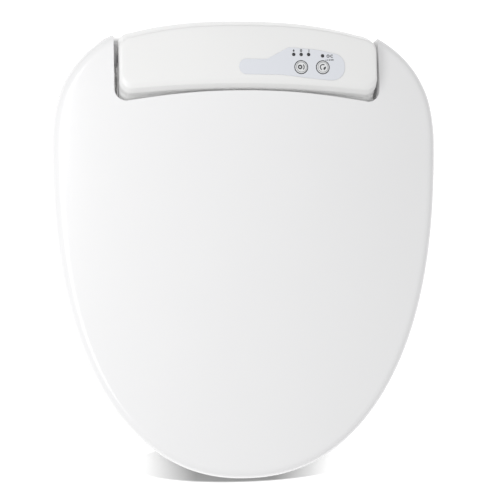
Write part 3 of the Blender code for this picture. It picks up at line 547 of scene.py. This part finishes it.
def annulus(bm, x, y, inner, outer, low, high, start=0.0, end=360.0, sides=64):
    """A flat ring, or part of one, drawn between two heights."""
    whole = end - start >= 360.0
    steps = max(6, int(sides * (end - start) / 360))
    angles = [radians(start + (end - start) * i / steps) for i in range(steps + (0 if whole else 1))]
    rings = []
    for radius, z in ((inner, low), (outer, low), (outer, high), (inner, high)):
        rings.append([(x + radius * cos(a), y + radius * sin(a), z) for a in angles])
    rows = loft(bm, rings + rings[:1], whole)
    bmesh.ops.remove_doubles(bm, verts=rows[0] + rows[4], dist=1e-6)
    if not whole:
        for k in (0, -1):
            bm.faces.new([rows[i][k] for i in range(4)])


def apply_modifiers(piece, sharp):
    """The piece's shape under its modifiers, kept in its mesh."""
    bpy.context.view_layer.update()
    evaluated = piece.evaluated_get(bpy.context.evaluated_depsgraph_get())
    mesh = bpy.data.meshes.new_from_object(evaluated)
    piece.modifiers.clear()
    piece.data = mesh
    smoothed(mesh, sharp)


def cut_away(piece, drawings):
    """The piece less some drawn shapes."""
    cutters = []
    for number, bm in enumerate(drawings):
        name = f"cutter_{number}"
        cutter = placed(name, drawn_mesh(name, bm))
        modifier = piece.modifiers.new(name, "BOOLEAN")
        modifier.operation = "DIFFERENCE"
        modifier.solver = "EXACT"
        modifier.object = cutter
        cutters.append(cutter)
    apply_modifiers(piece, 32.0)
    for cutter in cutters:
        bpy.data.objects.remove(cutter, do_unlink=True)


def smooth_step(value):
    value = min(max(value, 0.0), 1.0)
    return value * value * (3 - 2 * value)


# ---------------------------------------------------------------- lid


def lid_curve(steps=400):
    """The lid's outline, counterclockwise from the front tip, on two halves of superellipses."""
    right = []
    for i in range(steps):
        a = pi / 2 * (1 - i / steps)
        y = WIDEST_Y - (WIDEST_Y + HALF_DEPTH) * sin(a) ** (2 / FRONT_POWERS[0])
        right.append((HALF_WIDTH * max(cos(a), 0.0) ** (2 / FRONT_POWERS[1]), y))
    for i in range(steps + 1):
        a = pi / 2 * i / steps
        y = WIDEST_Y + (HALF_DEPTH - WIDEST_Y) * sin(a) ** (2 / REAR_POWERS[0])
        right.append((HALF_WIDTH * max(cos(a), 0.0) ** (2 / REAR_POWERS[1]), y))
    return right + [(-x, y) for x, y in right[-2:0:-1]]


def lid_top(x, y):
    """Height of the lid's outer face, before its edges round over; takes numbers or arrays."""
    t = np.clip((y + HALF_DEPTH) / (CREST_Y + HALF_DEPTH), 0.0, 1.0)
    spine = LID_FRONT_Z + LID_RISE * t**LID_RISE_POWER + LID_CROWN * 4 * t * (1 - t)
    behind = np.maximum(y - CREST_Y, 0.0) / (HALF_DEPTH - CREST_Y)
    front_drop, more_drop = LID_SIDE_DROP
    side = (front_drop + more_drop * t) * (np.abs(x) / HALF_WIDTH) ** LID_SIDE_POWER
    return spine - side - EAR_FALL * behind**2


def skirt_z(y):
    """Height of the foot of the lid's outer wall."""
    t = (y + HALF_DEPTH) / (2 * HALF_DEPTH)
    return SKIRT_FRONT_Z + SKIRT_RISE * t**SKIRT_RISE_POWER


def notch_front(x, z):
    """The notch's front edge is hollowed about the hinge line, so that it clears the console."""
    sweep = NOTCH_SWEEP_R + NOTCH_SWEEP_GROWTH * (x / CONSOLE_HALF) ** 2
    lowest, highest = NOTCH_Z_RANGE
    height = min(max(z, lowest), highest) - HINGE_Z
    return HINGE_Y - sqrt(sweep**2 - height**2)


def notch_path(below, tip_y):
    """The notch from its right end to its left, at a depth below the lid's face."""

    def front(x):
        y = NOTCH_GUESS_Y
        for _ in range(4):
            y = notch_front(x, float(lid_top(x, y)) - below)
        return y

    reach = NOTCH_HALF - NOTCH_CORNER
    half = 60
    edge = [(reach * i / half, front(reach * i / half)) for i in range(half, -half - 1, -1)]
    corner_y = edge[0][1] + NOTCH_CORNER
    right = arc((reach, corner_y), NOTCH_CORNER, 0, -90, 14)
    left = arc((-reach, corner_y), NOTCH_CORNER, 270, 180, 14)
    sides = 26
    down = [(NOTCH_HALF, tip_y + (corner_y - tip_y) * i / sides) for i in range(sides)]
    up = [(-x, y) for x, y in down[::-1]]
    return down + right + edge[1:-1] + left + up


def distances(points, path, closed):
    """Distance of each point from a path of straight runs."""
    points = np.asarray(points, float)
    path = np.asarray(path, float)
    ends = np.roll(path, -1, 0) if closed else path[1:]
    starts = path if closed else path[:-1]
    runs = ends - starts
    squares = (runs**2).sum(1)
    found = np.empty(len(points))
    batch = 2000
    for first in range(0, len(points), batch):
        some = points[first : first + batch]
        away = some[:, None, :] - starts[None]
        share = np.clip((away * runs[None]).sum(2) / squares[None], 0.0, 1.0)
        gap = away - share[..., None] * runs[None]
        found[first : first + batch] = np.sqrt((gap**2).sum(2).min(1))
    return found


def fall(radius, distance):
    """How far a round edge of a radius has dropped, at a distance inside it."""
    left = np.clip(radius - distance, 0.0, radius)
    return radius - np.sqrt(radius**2 - left**2)


def bezier(p0, t0, p1, t1, reach, steps):
    """Points between two ends, without them, on a curve that leaves each along its heading."""
    a, d = Vector(p0), Vector(p1)
    b, c = a + Vector(t0) * reach, d - Vector(t1) * reach
    points = []
    for i in range(1, steps):
        t = i / steps
        p = a * (1 - t) ** 3 + b * 3 * t * (1 - t) ** 2 + c * 3 * t * t * (1 - t) + d * t**3
        points.append((p.x, p.y))
    return points


def lid_outlines():
    """The uncut outline, the lid's edge at its face, the foot of its walls, what each point of
    these two belongs to, and the notch at its face."""
    curve = lid_curve()
    rear_half = range(len(curve) // 4, len(curve) // 2 + 1)
    tip_index = next(i for i in rear_half if curve[i][1] > EARS_BEHIND_Y and curve[i][0] < NOTCH_HALF)
    a, b = curve[tip_index - 1], curve[tip_index]
    share = (a[0] - NOTCH_HALF) / (a[0] - b[0])
    tip_y = a[1] + (b[1] - a[1]) * share
    right_side = curve[:tip_index] + [(NOTCH_HALF, tip_y)]
    full = [(-x, y) for x, y in right_side[:0:-1]] + right_side
    outer = resampled(full, OUTLINE_SPACING)
    outer = [p for p in outer if hypot(abs(p[0]) - NOTCH_HALF, p[1] - tip_y) > EAR_TIP_CUT]
    end, before = Vector(outer[-1]), Vector(outer[-2])
    heading = (end - before).normalized()
    start_y = tip_y - EAR_TIP_CUT
    right_tip = bezier(end, heading, (NOTCH_HALF, start_y), (0, -1), EAR_TIP_CUT * EAR_TIP_REACH, 8)
    left_tip = [(-x, y) for x, y in right_tip[::-1]]
    face_notch = notch_path(0.0, start_y)
    foot_notch = notch_path(LID_WALL, start_y)
    face = outer + right_tip + face_notch + left_tip
    foot = outer + right_tip + foot_notch + left_tip
    kinds = ["skirt"] * len(outer) + ["tip"] * len(right_tip) + ["notch"] * len(face_notch)
    kinds += ["tip"] * len(left_tip)
    return curve, face, foot, kinds, face_notch


def foot_heights(foot, kinds):
    """How far down the lid's walls go: a skirt outside, a short lip in front of the console, and
    ribs beside it."""
    heights = []
    for (x, y), kind in zip(foot, kinds):
        if kind == "skirt":
            heights.append(skirt_z(y))
        elif kind == "tip":
            heights.append(min(skirt_z(y), RIB_FLOOR_Z + 1))
        else:
            lip = float(lid_top(x, y)) - LID_WALL
            share = smooth_step((abs(x) - RIB_START_X) / (RIB_FULL_X - RIB_START_X))
            heights.append(lip + (RIB_FLOOR_Z - lip) * share)
    return heights


def make_lid():
    """The lid's face, its walls with their thickness, and its hollow side, as one closed mesh."""
    curve, face, foot, kinds, notch = lid_outlines()

    def height(points):
        points = np.asarray(points, float)
        top = lid_top(points[:, 0], points[:, 1])
        edge_fall = fall(LID_ROUND, distances(points, curve, True))
        return top - edge_fall - fall(LIP_ROUND, distances(points, notch, False))

    def hollow_height(points):
        points = np.asarray(points, float)
        top = lid_top(points[:, 0], points[:, 1])
        wall = distances(points, curve, True) - LID_WALL
        return top - LID_WALL - fall(LID_ROUND - LID_WALL, wall)

    def inner_points(border, border_depth, rings, spacing):
        """Points inside an outline: rows along its round edges, and a grid in the middle."""
        chosen = []
        for depth in rings:
            row = inset_loop(face, depth)
            keep = distances(row, border, True)
            chosen += [p for p, d in zip(row, keep) if abs(d - (depth - border_depth)) < ROW_SLACK]
        xs = np.arange(-HALF_WIDTH, HALF_WIDTH, spacing)
        ys = np.arange(-HALF_DEPTH, HALF_DEPTH, spacing)
        grid = np.array([(x + spacing / 2, y + spacing / 2) for y in ys for x in xs])
        grid = grid[inside_loop(grid, border)]
        deep = rings[-1] - border_depth + spacing * GRID_CLEARANCE
        grid = grid[distances(grid, border, True) > deep]
        return chosen + [tuple(p) for p in grid]

    bm = bmesh.new()

    # Outer face
    points, triangles, origin = filled([face], inner_points(face, 0.0, FACE_RINGS, FACE_GRID))
    heights = height([tuple(p) for p in points])
    verts = [bm.verts.new((p.x, p.y, z)) for p, z in zip(points, heights)]
    for triangle in triangles:
        bm.faces.new([verts[i] for i in triangle])
    face_row = loop_rows(verts, origin, [face])[0]

    # Walls down from the face's edge. Where the inner side would fold over itself, in the corners,
    # its points are left out, and the quads there use the last point kept.
    foot_z = foot_heights(foot, kinds)
    foot_row = [bm.verts.new((x, y, z)) for (x, y), z in zip(foot, foot_z)]
    inner = inset_loop(foot, LID_WALL)
    clear = distances(inner, foot, True) > LID_WALL - FOLD_SLACK
    kept = [i for i in range(len(inner)) if clear[i]]
    target = []
    last = kept[-1]
    for i in range(len(inner)):
        if clear[i]:
            last = i
        target.append(last)
    inner_z = hollow_height(inner)
    rim_vert = {i: bm.verts.new((*inner[i], foot_z[i])) for i in kept}
    top_vert = {}
    for i in kept:
        ceiling = min(inner_z[i], float(lid_top(*inner[i])) - LID_WALL)
        top_vert[i] = bm.verts.new((*inner[i], max(ceiling, foot_z[i] + LEAST_WALL_HEIGHT)))
    count = len(face)
    for i in range(count):
        j = (i + 1) % count
        bm.faces.new((face_row[i], face_row[j], foot_row[j], foot_row[i]))
        a, b = target[i], target[j]
        if a == b:
            bm.faces.new((foot_row[i], foot_row[j], rim_vert[a]))
        else:
            bm.faces.new((foot_row[i], foot_row[j], rim_vert[b], rim_vert[a]))
            bm.faces.new((rim_vert[a], rim_vert[b], top_vert[b], top_vert[a]))

    # Hollow side
    border = [inner[i] for i in kept]
    grid = inner_points(border, LID_WALL, HOLLOW_RINGS, HOLLOW_GRID)
    points, triangles, origin = filled([border], grid)
    heights = hollow_height([tuple(p) for p in points])
    made = []
    for p, z, sources in zip(points, heights, origin):
        at_edge = [s for s in sources if s < len(border)]
        made.append(top_vert[kept[at_edge[0]]] if at_edge else bm.verts.new((p.x, p.y, z)))
    for triangle in triangles:
        corners = [made[i] for i in triangle]
        if len(set(corners)) == 3:
            bm.faces.new(corners)

    lid = add_piece("lid", bm, "lid_white", "lid", sharp=40)
    add_lid_bosses()
    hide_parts("lid_shell")


def add_lid_bosses():
    """The two hinge bosses inside the lid's ribs, each with a web up to the ear."""

    def disc(x, radius):
        outline = arc((HINGE_Y, HINGE_Z), radius, 0, 360, 48)[:-1]
        return [(x, y, z) for y, z in outline]

    bm = bmesh.new()
    for side in (-1, 1):
        low, high = sorted(side * x for x in BOSS_SPAN)
        rings = [disc(low, KNUCKLE_R - BOSS_EDGE), disc(low + BOSS_EDGE, KNUCKLE_R)]
        rings += [disc(high - BOSS_EDGE, KNUCKLE_R), disc(high, KNUCKLE_R - BOSS_EDGE)]
        rows = loft(bm, rings)
        bm.faces.new(rows[0])
        bm.faces.new(rows[-1][::-1])
        block((low, *WEB_FOOT), (high, *WEB_TOP), bm)
    add_piece("lid_bosses", bm, "lid_white", "lid")


# ---------------------------------------------------------------- console


def console_outline(front, rear, half, front_sag, radius):
    """A plan of the console: arched front and rear, straight sides, round corners."""
    reach = half - radius

    def front_edge(x):
        return front - front_sag * (x / CONSOLE_HALF) ** 2

    def rear_edge(x):
        return rear - REAR_SAG * (x / CONSOLE_HALF) ** REAR_SAG_POWER

    edge_steps = 36
    corner_steps = 12
    steps = [reach * i / edge_steps for i in range(edge_steps)]
    right = [(x, front_edge(x)) for x in steps]
    right += arc((reach, front_edge(reach) + radius), radius, -90, 0, corner_steps)
    right += arc((reach, rear_edge(reach) - radius), radius, 0, 90, corner_steps)
    right += [(x, rear_edge(x)) for x in steps[::-1]]
    return right + [(-x, y) for x, y in right[-2:0:-1]]


def softened(levels, share=0.16, steps=3):
    """A profile of number rows with each corner rounded a little."""
    rows = [levels[0]]
    for before, here, after in zip(levels, levels[1:], levels[2:]):
        a = [h + (b - h) * share for h, b in zip(here, before)]
        c = [h + (n - h) * share for h, n in zip(here, after)]
        for i in range(steps + 1):
            t = i / steps
            curve = [p * (1 - t) ** 2 + 2 * t * (1 - t) * q + t * t * r for p, q, r in zip(a, here, c)]
            rows.append(curve)
    return rows + [levels[-1]]


def console_ring(z, front, rear, side, sag, inset=0.0):
    half = CONSOLE_HALF - side - inset
    plan = console_outline(front + inset, rear - inset, half, sag, CONSOLE_ROUND - inset)
    return [(x, y, z) for x, y in plan]


def panel_holes():
    """Outlines of the holes for the keys and the lights."""
    holes = [circle(x, y, BUTTON_HOLE_R) for x, y in BUTTONS.values()]
    return holes + [circle(x, y, LED_HOLE_R, 24) for x, y in LEDS.values()]


def make_cover():
    bm = bmesh.new()
    rings = [console_ring(*level) for level in softened(COVER_LEVELS)]
    inner = [console_ring(*level, inset=CONSOLE_WALL) for level in COVER_LEVELS[3::-1]]
    inner = [[(x, y, max(z - CONSOLE_WALL, PARTING_Z)) for x, y, z in ring] for ring in inner]
    rows = loft(bm, inner + rings)
    bm.faces.new(rows[0][::-1])

    # Top face, with its holes and their walls
    flat = [(x, y) for x, y, _ in rings[-1]]
    holes = panel_holes()
    margin = inset_loop(flat, TOP_MARGIN)
    points, triangles, origin = filled([flat] + holes, margin)
    verts = []
    for p, sources in zip(points, origin):
        edge = [s for s in sources if s < len(flat)]
        verts.append(rows[-1][edge[0]] if edge else bm.verts.new((p.x, p.y, TOP_Z)))
    for triangle in triangles:
        bm.faces.new([verts[i] for i in triangle])
    hole_rows = loop_rows(verts, origin, [flat] + holes)[1:]
    for hole, row in zip(holes, hole_rows):
        low = [bm.verts.new((x, y, HOLE_FLOOR_Z)) for x, y in hole]
        bridge(bm, row, low)
    cover = add_piece("console_cover", bm, "console_white", "root", sharp=38)
    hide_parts("rear_cover")


def make_base():
    bm = bmesh.new()
    rings = [console_ring(*level) for level in softened(BASE_LEVELS)]
    inner = [console_ring(*level, inset=CONSOLE_WALL) for level in BASE_LEVELS]
    for k, ring in enumerate(inner[:-1]):
        inner[k] = [(x, y, z + CONSOLE_WALL) for x, y, z in ring]
    rows = loft(bm, rings + inner[::-1])
    bm.faces.new(rows[0][::-1])
    bm.faces.new(rows[-1])
    base = add_piece("console_base", bm, "base_white", "root")
    nozzle_port = block((-10, 110, 8.8), (10, 125, 26.0))
    dryer_port = block((38, 110, 10.5), (72, 125, 26.2))
    inlet_hole = rod((-140, 178, 18), (-120, 178, 18), 8.0)
    gland_hole = rod((120, 206, 16), (140, 206, 16), 5.3)
    release_hole = block((120, 155.6, 9.6), (140, 174.4, 20.4))
    hinge_holes = rod((-140, HINGE_Y, HINGE_Z), (140, HINGE_Y, HINGE_Z), SHAFT_R + 0.8)
    cutters = [nozzle_port, dryer_port, inlet_hole, gland_hole, release_hole, hinge_holes]
    air_intake = [block((50 + 6 * i, 156, 0), (53 + 6 * i, 178, 12)) for i in range(5)]
    screw_recesses = [rod((x, y, -1), (x, y, 11.6), 4.2, 32) for x, y in SCREW_SPOTS]
    cut_away(base, cutters + air_intake + screw_recesses)
    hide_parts("base_housing")


# ---------------------------------------------------------------- control panel


def make_label():
    outline = filleted(LABEL_CORNERS)
    bevel_width, bevel_drop = LABEL_BEVEL
    edge = inset_loop(outline, bevel_width)
    loops = [edge] + panel_holes()
    points, triangles, origin = filled(loops)
    bm = bmesh.new()
    faces = []
    for z, flip in ((LABEL_Z, True), (LABEL_TOP, False)):
        verts = [bm.verts.new((p.x, p.y, z)) for p in points]
        for triangle in triangles:
            corners = [verts[i] for i in triangle]
            bm.faces.new(corners[::-1] if flip else corners)
        faces.append(loop_rows(verts, origin, loops))
    lower, upper = faces
    waist = [bm.verts.new((x, y, LABEL_TOP - bevel_drop)) for x, y in outline]
    foot = [bm.verts.new((x, y, LABEL_Z)) for x, y in outline]
    chain = [upper[0], waist, foot, lower[0]]
    for a, b in zip(chain, chain[1:]):
        bridge(bm, a, b)
    for a, b in zip(upper[1:], lower[1:]):
        bridge(bm, a, b)
    label = add_piece("control_label", bm, "label_film", "root", sharp=30)
    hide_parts("panel_label")


def make_label_print():
    """Small signs beside the lights: a drop, a seat, an air mark, a clock, an open ring, and bars
    for the time set; and a ring round each key."""
    low, high = LABEL_TOP + 0.004, LABEL_TOP + PRINT_HEIGHT
    bm = bmesh.new()
    sign_y = 194.6

    drop_x = LEDS["water"][0]
    drop = [(drop_x, sign_y + 1.45)] + arc((drop_x, sign_y - 0.2), 0.95, 35, -215, 18)
    prism(bm, drop, low, high)

    seat_x = LEDS["seat"][0]
    annulus(bm, seat_x, sign_y - 0.2, 0.45, 1.15, low, high, sides=32)
    bar(bm, seat_x - 1.1, sign_y + 1.05, seat_x + 1.1, sign_y + 1.5, low, high)

    air_x = LEDS["dryer"][0] - 0.5
    for shift in (-0.9, 0.0, 0.9):
        annulus(bm, air_x, sign_y + shift, 0.75, 1.25, low, high, -50, 50, 40)

    clock_x, clock_y = 78.1, 189.4
    annulus(bm, clock_x, clock_y, 0.95, 1.6, low, high, sides=36)
    bar(bm, clock_x - 0.15, clock_y - 0.1, clock_x + 0.15, clock_y + 0.8, low, high)
    bar(bm, clock_x - 0.1, clock_y - 0.15, clock_x + 0.7, clock_y + 0.15, low, high)
    annulus(bm, clock_x + 3.8, clock_y, 0.85, 1.55, low, high, 40, 320, 36)

    bars_x, bars_y = 75.9, 184.9
    for i in range(5):
        x = bars_x + 1.75 * i
        bar(bm, x - 0.55, bars_y, x + 0.55, bars_y + 0.8 + 0.2 * i, low, high)

    for x, y in BUTTONS.values():
        annulus(bm, x, y, BUTTON_R + 0.42, BUTTON_R + 1.0, low, high, sides=72)
    add_piece("label_print", bm, "ink", "root")


def turned(profile, x, y, sides):
    """A closed shape turned about an upright axis, from its lowest radius and height to its top."""
    bm = bmesh.new()
    rows = loft(bm, [[(*p, z) for p in circle(x, y, radius, sides)] for radius, z in profile])
    bm.faces.new(rows[0][::-1])
    bm.faces.new(rows[-1])
    return bm


def make_buttons():
    """Two keys, each with a flange under the cover and a slightly dished face."""
    r, top = BUTTON_R, BUTTON_TOP
    flange_r, flange_low, flange_high = r + 1.4, 98.7, 99.7
    profile = [(2.0, 98.1), (2.0, flange_low), (flange_r, flange_low), (flange_r, flange_high)]
    profile += [(r, flange_high), (r, top - 0.45), (r - 0.06, top - 0.24), (r - 0.2, top - 0.1)]
    profile += [(r - 0.45, top - 0.02), (r - 0.8, top)]
    profile += [(4.2, top), (3.6, top - 0.03), (2.0, top - 0.12), (0.8, top - 0.15)]
    for name, (x, y) in BUTTONS.items():
        bm = turned(profile, x, y, 64)
        cap = add_piece(f"{name}_key_cap", bm, "button_face", f"{name}_key", sharp=30)
        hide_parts(f"{name}_button")
        make_button_print(name, x, y)


def make_button_print(name, x, y):
    """A ring round the key's edge and a sign in its middle, sunk into the dish."""
    low, high = BUTTON_TOP + 0.002, BUTTON_TOP + PRINT_HEIGHT
    bm = bmesh.new()
    annulus(bm, x, y, 4.8, 5.15, low, high, sides=72)
    if name == "power":
        annulus(bm, x - 1.25, y, 1.05, 2.25, low - 0.13, high, sides=40)
        annulus(bm, x - 0.6, y, 2.9, 3.85, low - 0.08, high, -45, 45, 60)
    else:
        annulus(bm, x, y, 2.2, 3.15, low - 0.1, high, 55, 250, 60)
        wedge = [(x + 0.5, y - 1.1)] + arc((x, y), 3.1, -75, 12, 10) + [(x + 1.7, y + 0.3)]
        prism(bm, wedge, low - 0.1, high)
    add_piece(f"{name}_key_print", bm, "ink", f"{name}_key")


def make_leds():
    """Four domed lights, each in a dark seat that fills its hole."""
    dome = [(LED_R, 94.1), (LED_R, LABEL_TOP - 0.15), (LED_R - 0.12, LABEL_TOP)]
    dome += [(LED_R - 0.5, LABEL_TOP + 0.12), (0.4, LABEL_TOP + 0.18)]
    seat_low, seat_high = LABEL_Z - 0.8, LABEL_TOP - 0.05
    for name, (x, y) in LEDS.items():
        bm = turned(dome, x, y, 32)
        lens = add_piece(f"{name}_lens", bm, "lens", "root", sharp=35)
        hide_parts(f"{name}_led")
        bm = bmesh.new()
        annulus(bm, x, y, LED_R - 0.02, LED_R + 0.32, seat_low, seat_high, sides=32)
        add_piece(f"{name}_lens_seat", bm, "lens", "root", sharp=35)


# ---------------------------------------------------------------- seat


def seat_top(y):
    rise = SEAT_REAR_TOP_Z - SEAT_FRONT_TOP_Z
    return SEAT_FRONT_TOP_Z + rise * (y + HALF_DEPTH) / (SEAT_REAR_Y + HALF_DEPTH)


def seat_floor(y):
    """The seat's underside is higher under its rear bar, over the nozzle's way out."""
    return SEAT_FLOOR_Z + SEAT_FLOOR_RISE * smooth_step((y - SEAT_BAR_START_Y) / SEAT_BAR_RAMP)


def ray_points(loop, centre, count):
    """Where rays at even angles from a centre meet a closed outline."""
    loop = np.asarray(loop, float) - centre
    angles = np.arctan2(loop[:, 1], loop[:, 0])
    radii = np.hypot(loop[:, 0], loop[:, 1])
    order = np.argsort(angles)
    angles, radii = angles[order], radii[order]
    wanted = np.linspace(-pi, pi, count, endpoint=False)
    found = np.interp(wanted, angles, radii, period=2 * pi)
    return [(centre[0] + r * cos(a), centre[1] + r * sin(a)) for a, r in zip(wanted, found)]


def seat_borders(count):
    """The seat ring's outer and inner outlines, point against point."""
    curve = inset_loop(lid_curve(), SEAT_INSET)
    rear = max(y for _, y in curve)
    squash = (SEAT_REAR_Y - SEAT_REAR_START_Y) / (rear - SEAT_REAR_START_Y)
    outer = []
    for x, y in curve:
        past = max(y - SEAT_REAR_START_Y, 0.0)
        outer.append((x, y - past + past * squash))
    inner = []
    steps = 720
    for i in range(steps):
        a = -pi / 2 + 2 * pi * i / steps
        reach = OPENING_FRONT if sin(a) < 0 else OPENING_REAR
        across = abs(cos(a)) ** OPENING_POWER * (1 if cos(a) > 0 else -1)
        inner.append((OPENING_HALF_WIDTH * across, OPENING_Y + reach * sin(a)))
    centre = (0.0, OPENING_Y)
    return ray_points(outer, centre, count), ray_points(inner, centre, count)


def smooth_profile(points, steps):
    """A Catmull-Rom curve through (a, b) points."""

    def between(a, b, c, d, t):
        bend = (2 * a - 5 * b + 4 * c - d) * t * t
        return 0.5 * (2 * b + (c - a) * t + bend + (3 * b - a - 3 * c + d) * t**3)

    padded = [points[0]] + list(points) + [points[-1]]
    path = []
    for corners in zip(padded, padded[1:], padded[2:], padded[3:]):
        for i in range(steps):
            path.append(tuple(between(*values, i / steps) for values in zip(*corners)))
    return path + [tuple(points[-1])]


def make_seat():
    outer, inner = seat_borders(240)
    crest = smooth_profile(SEAT_PROFILE, 5)
    chamfer, chamfer_rise = SEAT_EDGE
    rings = []
    for (ox, oy), (ix, iy) in zip(outer, inner):
        width = hypot(ix - ox, iy - oy)
        middle_y = (oy + iy) / 2
        top, floor = seat_top(middle_y), seat_floor(middle_y)
        hollow = width - 2 * SEAT_WALL
        section = [(chamfer, floor), (0.0, floor + chamfer_rise)]
        section += [(w * width, top + z) for w, z in crest]
        section += [(width, floor + chamfer_rise), (width - chamfer, floor), (width - SEAT_WALL, floor)]
        section += [(SEAT_WALL + w * hollow, top + z - SEAT_WALL) for w, z in SEAT_PROFILE[::-1]]
        section.append((SEAT_WALL, floor))
        ring = []
        for distance, height in section:
            share = distance / width
            ring.append((ox + (ix - ox) * share, oy + (iy - oy) * share, height))
        rings.append(ring)
    bm = bmesh.new()
    rows = loft(bm, rings)
    bridge(bm, rows[-1], rows[0])
    seat = add_piece("seat_ring", bm, "seat_white", "seat", sharp=40)
    make_seat_arms()
    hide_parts("seat_top_shell")


def make_seat_arms():
    """Swan-necked arms from the ring's rear corners up to the hinge line."""
    shape = arc((HINGE_Y, HINGE_Z), KNUCKLE_R, 120, -100, 40) + ARM_UNDERSIDE + ARM_TOP_SIDE
    bm = bmesh.new()
    for side in (-1, 1):
        low, high = sorted(side * x for x in ARM_SPAN)
        rows = loft(bm, [[(x, y, z) for y, z in shape] for x in (low, high)])
        bm.faces.new(rows[0])
        bm.faces.new(rows[1][::-1])
    arms = add_piece("seat_arms", bm, "seat_white", "seat", sharp=25)
    bevel = arms.modifiers.new("edges", "BEVEL")
    bevel.width = ARM_BEVEL * MM
    bevel.segments = 3
    bevel.limit_method = "ANGLE"
    bevel.angle_limit = radians(40)
    apply_modifiers(arms, 35.0)


# ---------------------------------------------------------------- studio


def make_floor():
    """A pale floor with a painted glow near the object, where it reads as white, and painted shadows,
    darker and without the glow, under the lid's front and the console."""
    bm = bmesh.new()
    bmesh.ops.create_grid(bm, x_segments=40, y_segments=40, size=FLOOR_HALF)
    mesh = bpy.data.meshes.new("studio_floor")
    bm.to_mesh(mesh)
    bm.free()
    floor = placed("studio_floor", mesh)
    floor.location.z = -FLOOR_DROP
    paint = surface("floor_paint", FLOOR_COLOUR, 0.9, tint=0.004, grain=0.0, specular=0.1)
    tree = paint.node_tree
    shader = tree.nodes["Principled BSDF"]
    shader.inputs["Emission Color"].default_value = (1, 1, 1, 1)
    place = tree.nodes.new("ShaderNodeTexCoord")

    def soft_patch(centre, radii, fade_start, fade_end):
        """One inside an ellipse on the floor, falling to nought at its edge."""
        mapping = tree.nodes.new("ShaderNodeMapping")
        mapping.vector_type = "TEXTURE"
        mapping.inputs["Location"].default_value = (*centre, 0.0)
        mapping.inputs["Scale"].default_value = (*radii, 1.0)
        tree.links.new(place.outputs["Object"], mapping.inputs["Vector"])
        gradient = tree.nodes.new("ShaderNodeTexGradient")
        gradient.gradient_type = "SPHERICAL"
        tree.links.new(mapping.outputs["Vector"], gradient.inputs["Vector"])
        ramp = tree.nodes.new("ShaderNodeMapRange")
        ramp.inputs["From Min"].default_value = fade_start
        ramp.inputs["From Max"].default_value = fade_end
        tree.links.new(gradient.outputs["Fac"], ramp.inputs["Value"])
        return ramp.outputs["Result"]

    def calculated(operation, first, second):
        node = tree.nodes.new("ShaderNodeMath")
        node.operation = operation
        for value, target in zip((first, second), node.inputs):
            if isinstance(value, float):
                target.default_value = value
            else:
                tree.links.new(value, target)
        return node.outputs["Value"]

    def times(first, second):
        return calculated("MULTIPLY", first, second)

    def clear_of(shade):
        return calculated("SUBTRACT", 1.0, shade)

    # painted light: the glow patch; painted shadows: the front and the console patches
    near = soft_patch(*GLOW)
    front = times(*(soft_patch(*patch) for patch in FRONT_SHADE))
    under = times(*(soft_patch(*patch) for patch in CONSOLE_SHADE))
    # share of the floor outside the painted shadows, where the painted glow and the floor's colour are kept
    lit = times(clear_of(front), clear_of(under))
    tree.links.new(times(near, lit), shader.inputs["Emission Strength"])
    # inside the painted shadows the floor's colour is darkened towards SHADE_COLOUR
    colour = shader.inputs["Base Color"].links[0].from_socket
    shade = tree.nodes.new("ShaderNodeMix")
    shade.data_type = "RGBA"
    shade.inputs[6].default_value = SHADE_COLOUR
    tree.links.new(lit, shade.inputs["Factor"])
    tree.links.new(colour, shade.inputs[7])
    tree.links.new(shade.outputs[2], shader.inputs["Base Color"])
    mesh.materials.append(paint)


def make_lights():
    world = bpy.data.worlds.new("studio")
    world.use_nodes = True
    tree = world.node_tree
    background = tree.nodes["Background"]
    background.inputs["Color"].default_value = (1.0, 1.0, 1.0, 1.0)
    place = tree.nodes.new("ShaderNodeTexCoord")
    split = tree.nodes.new("ShaderNodeSeparateXYZ")
    height = tree.nodes.new("ShaderNodeMapRange")
    height.inputs["To Min"].default_value = SKY_LOW
    height.inputs["To Max"].default_value = SKY_HIGH
    tree.links.new(place.outputs["Generated"], split.inputs["Vector"])
    tree.links.new(split.outputs["Z"], height.inputs["Value"])
    tree.links.new(height.outputs["Result"], background.inputs["Strength"])
    bpy.context.scene.world = world

    lamp = bpy.data.lights.new("key", "AREA")
    lamp.shape = "RECTANGLE"
    lamp.size, lamp.size_y = KEY_SIZE
    lamp.energy = KEY_POWER
    key = placed("key", lamp)
    key.location = KEY_PLACE
    aim = Vector(KEY_TARGET) - Vector(KEY_PLACE)
    key.rotation_euler = aim.to_track_quat("-Z", "Y").to_euler()


def make_camera():
    data = bpy.data.cameras.new("view")
    data.sensor_width = SENSOR_WIDTH
    data.lens = CAMERA_LENS
    camera = placed("view", data)
    camera.location = CAMERA_PLACE
    back = (camera.location - Vector(CAMERA_TARGET)).normalized()
    across = Vector((sin(CAMERA_ROLL), cos(CAMERA_ROLL), 0.0)).cross(back).normalized()
    turn = Matrix((across, back.cross(across), back)).transposed()
    camera.rotation_euler = turn.to_euler()
    bpy.context.scene.camera = camera
    bpy.context.scene.view_settings.view_transform = "Standard"


look_of_nodes()
make_lid()
make_cover()
make_base()
make_label()
make_label_print()
make_buttons()
make_leds()
make_seat()
make_floor()
make_lights()
make_camera()
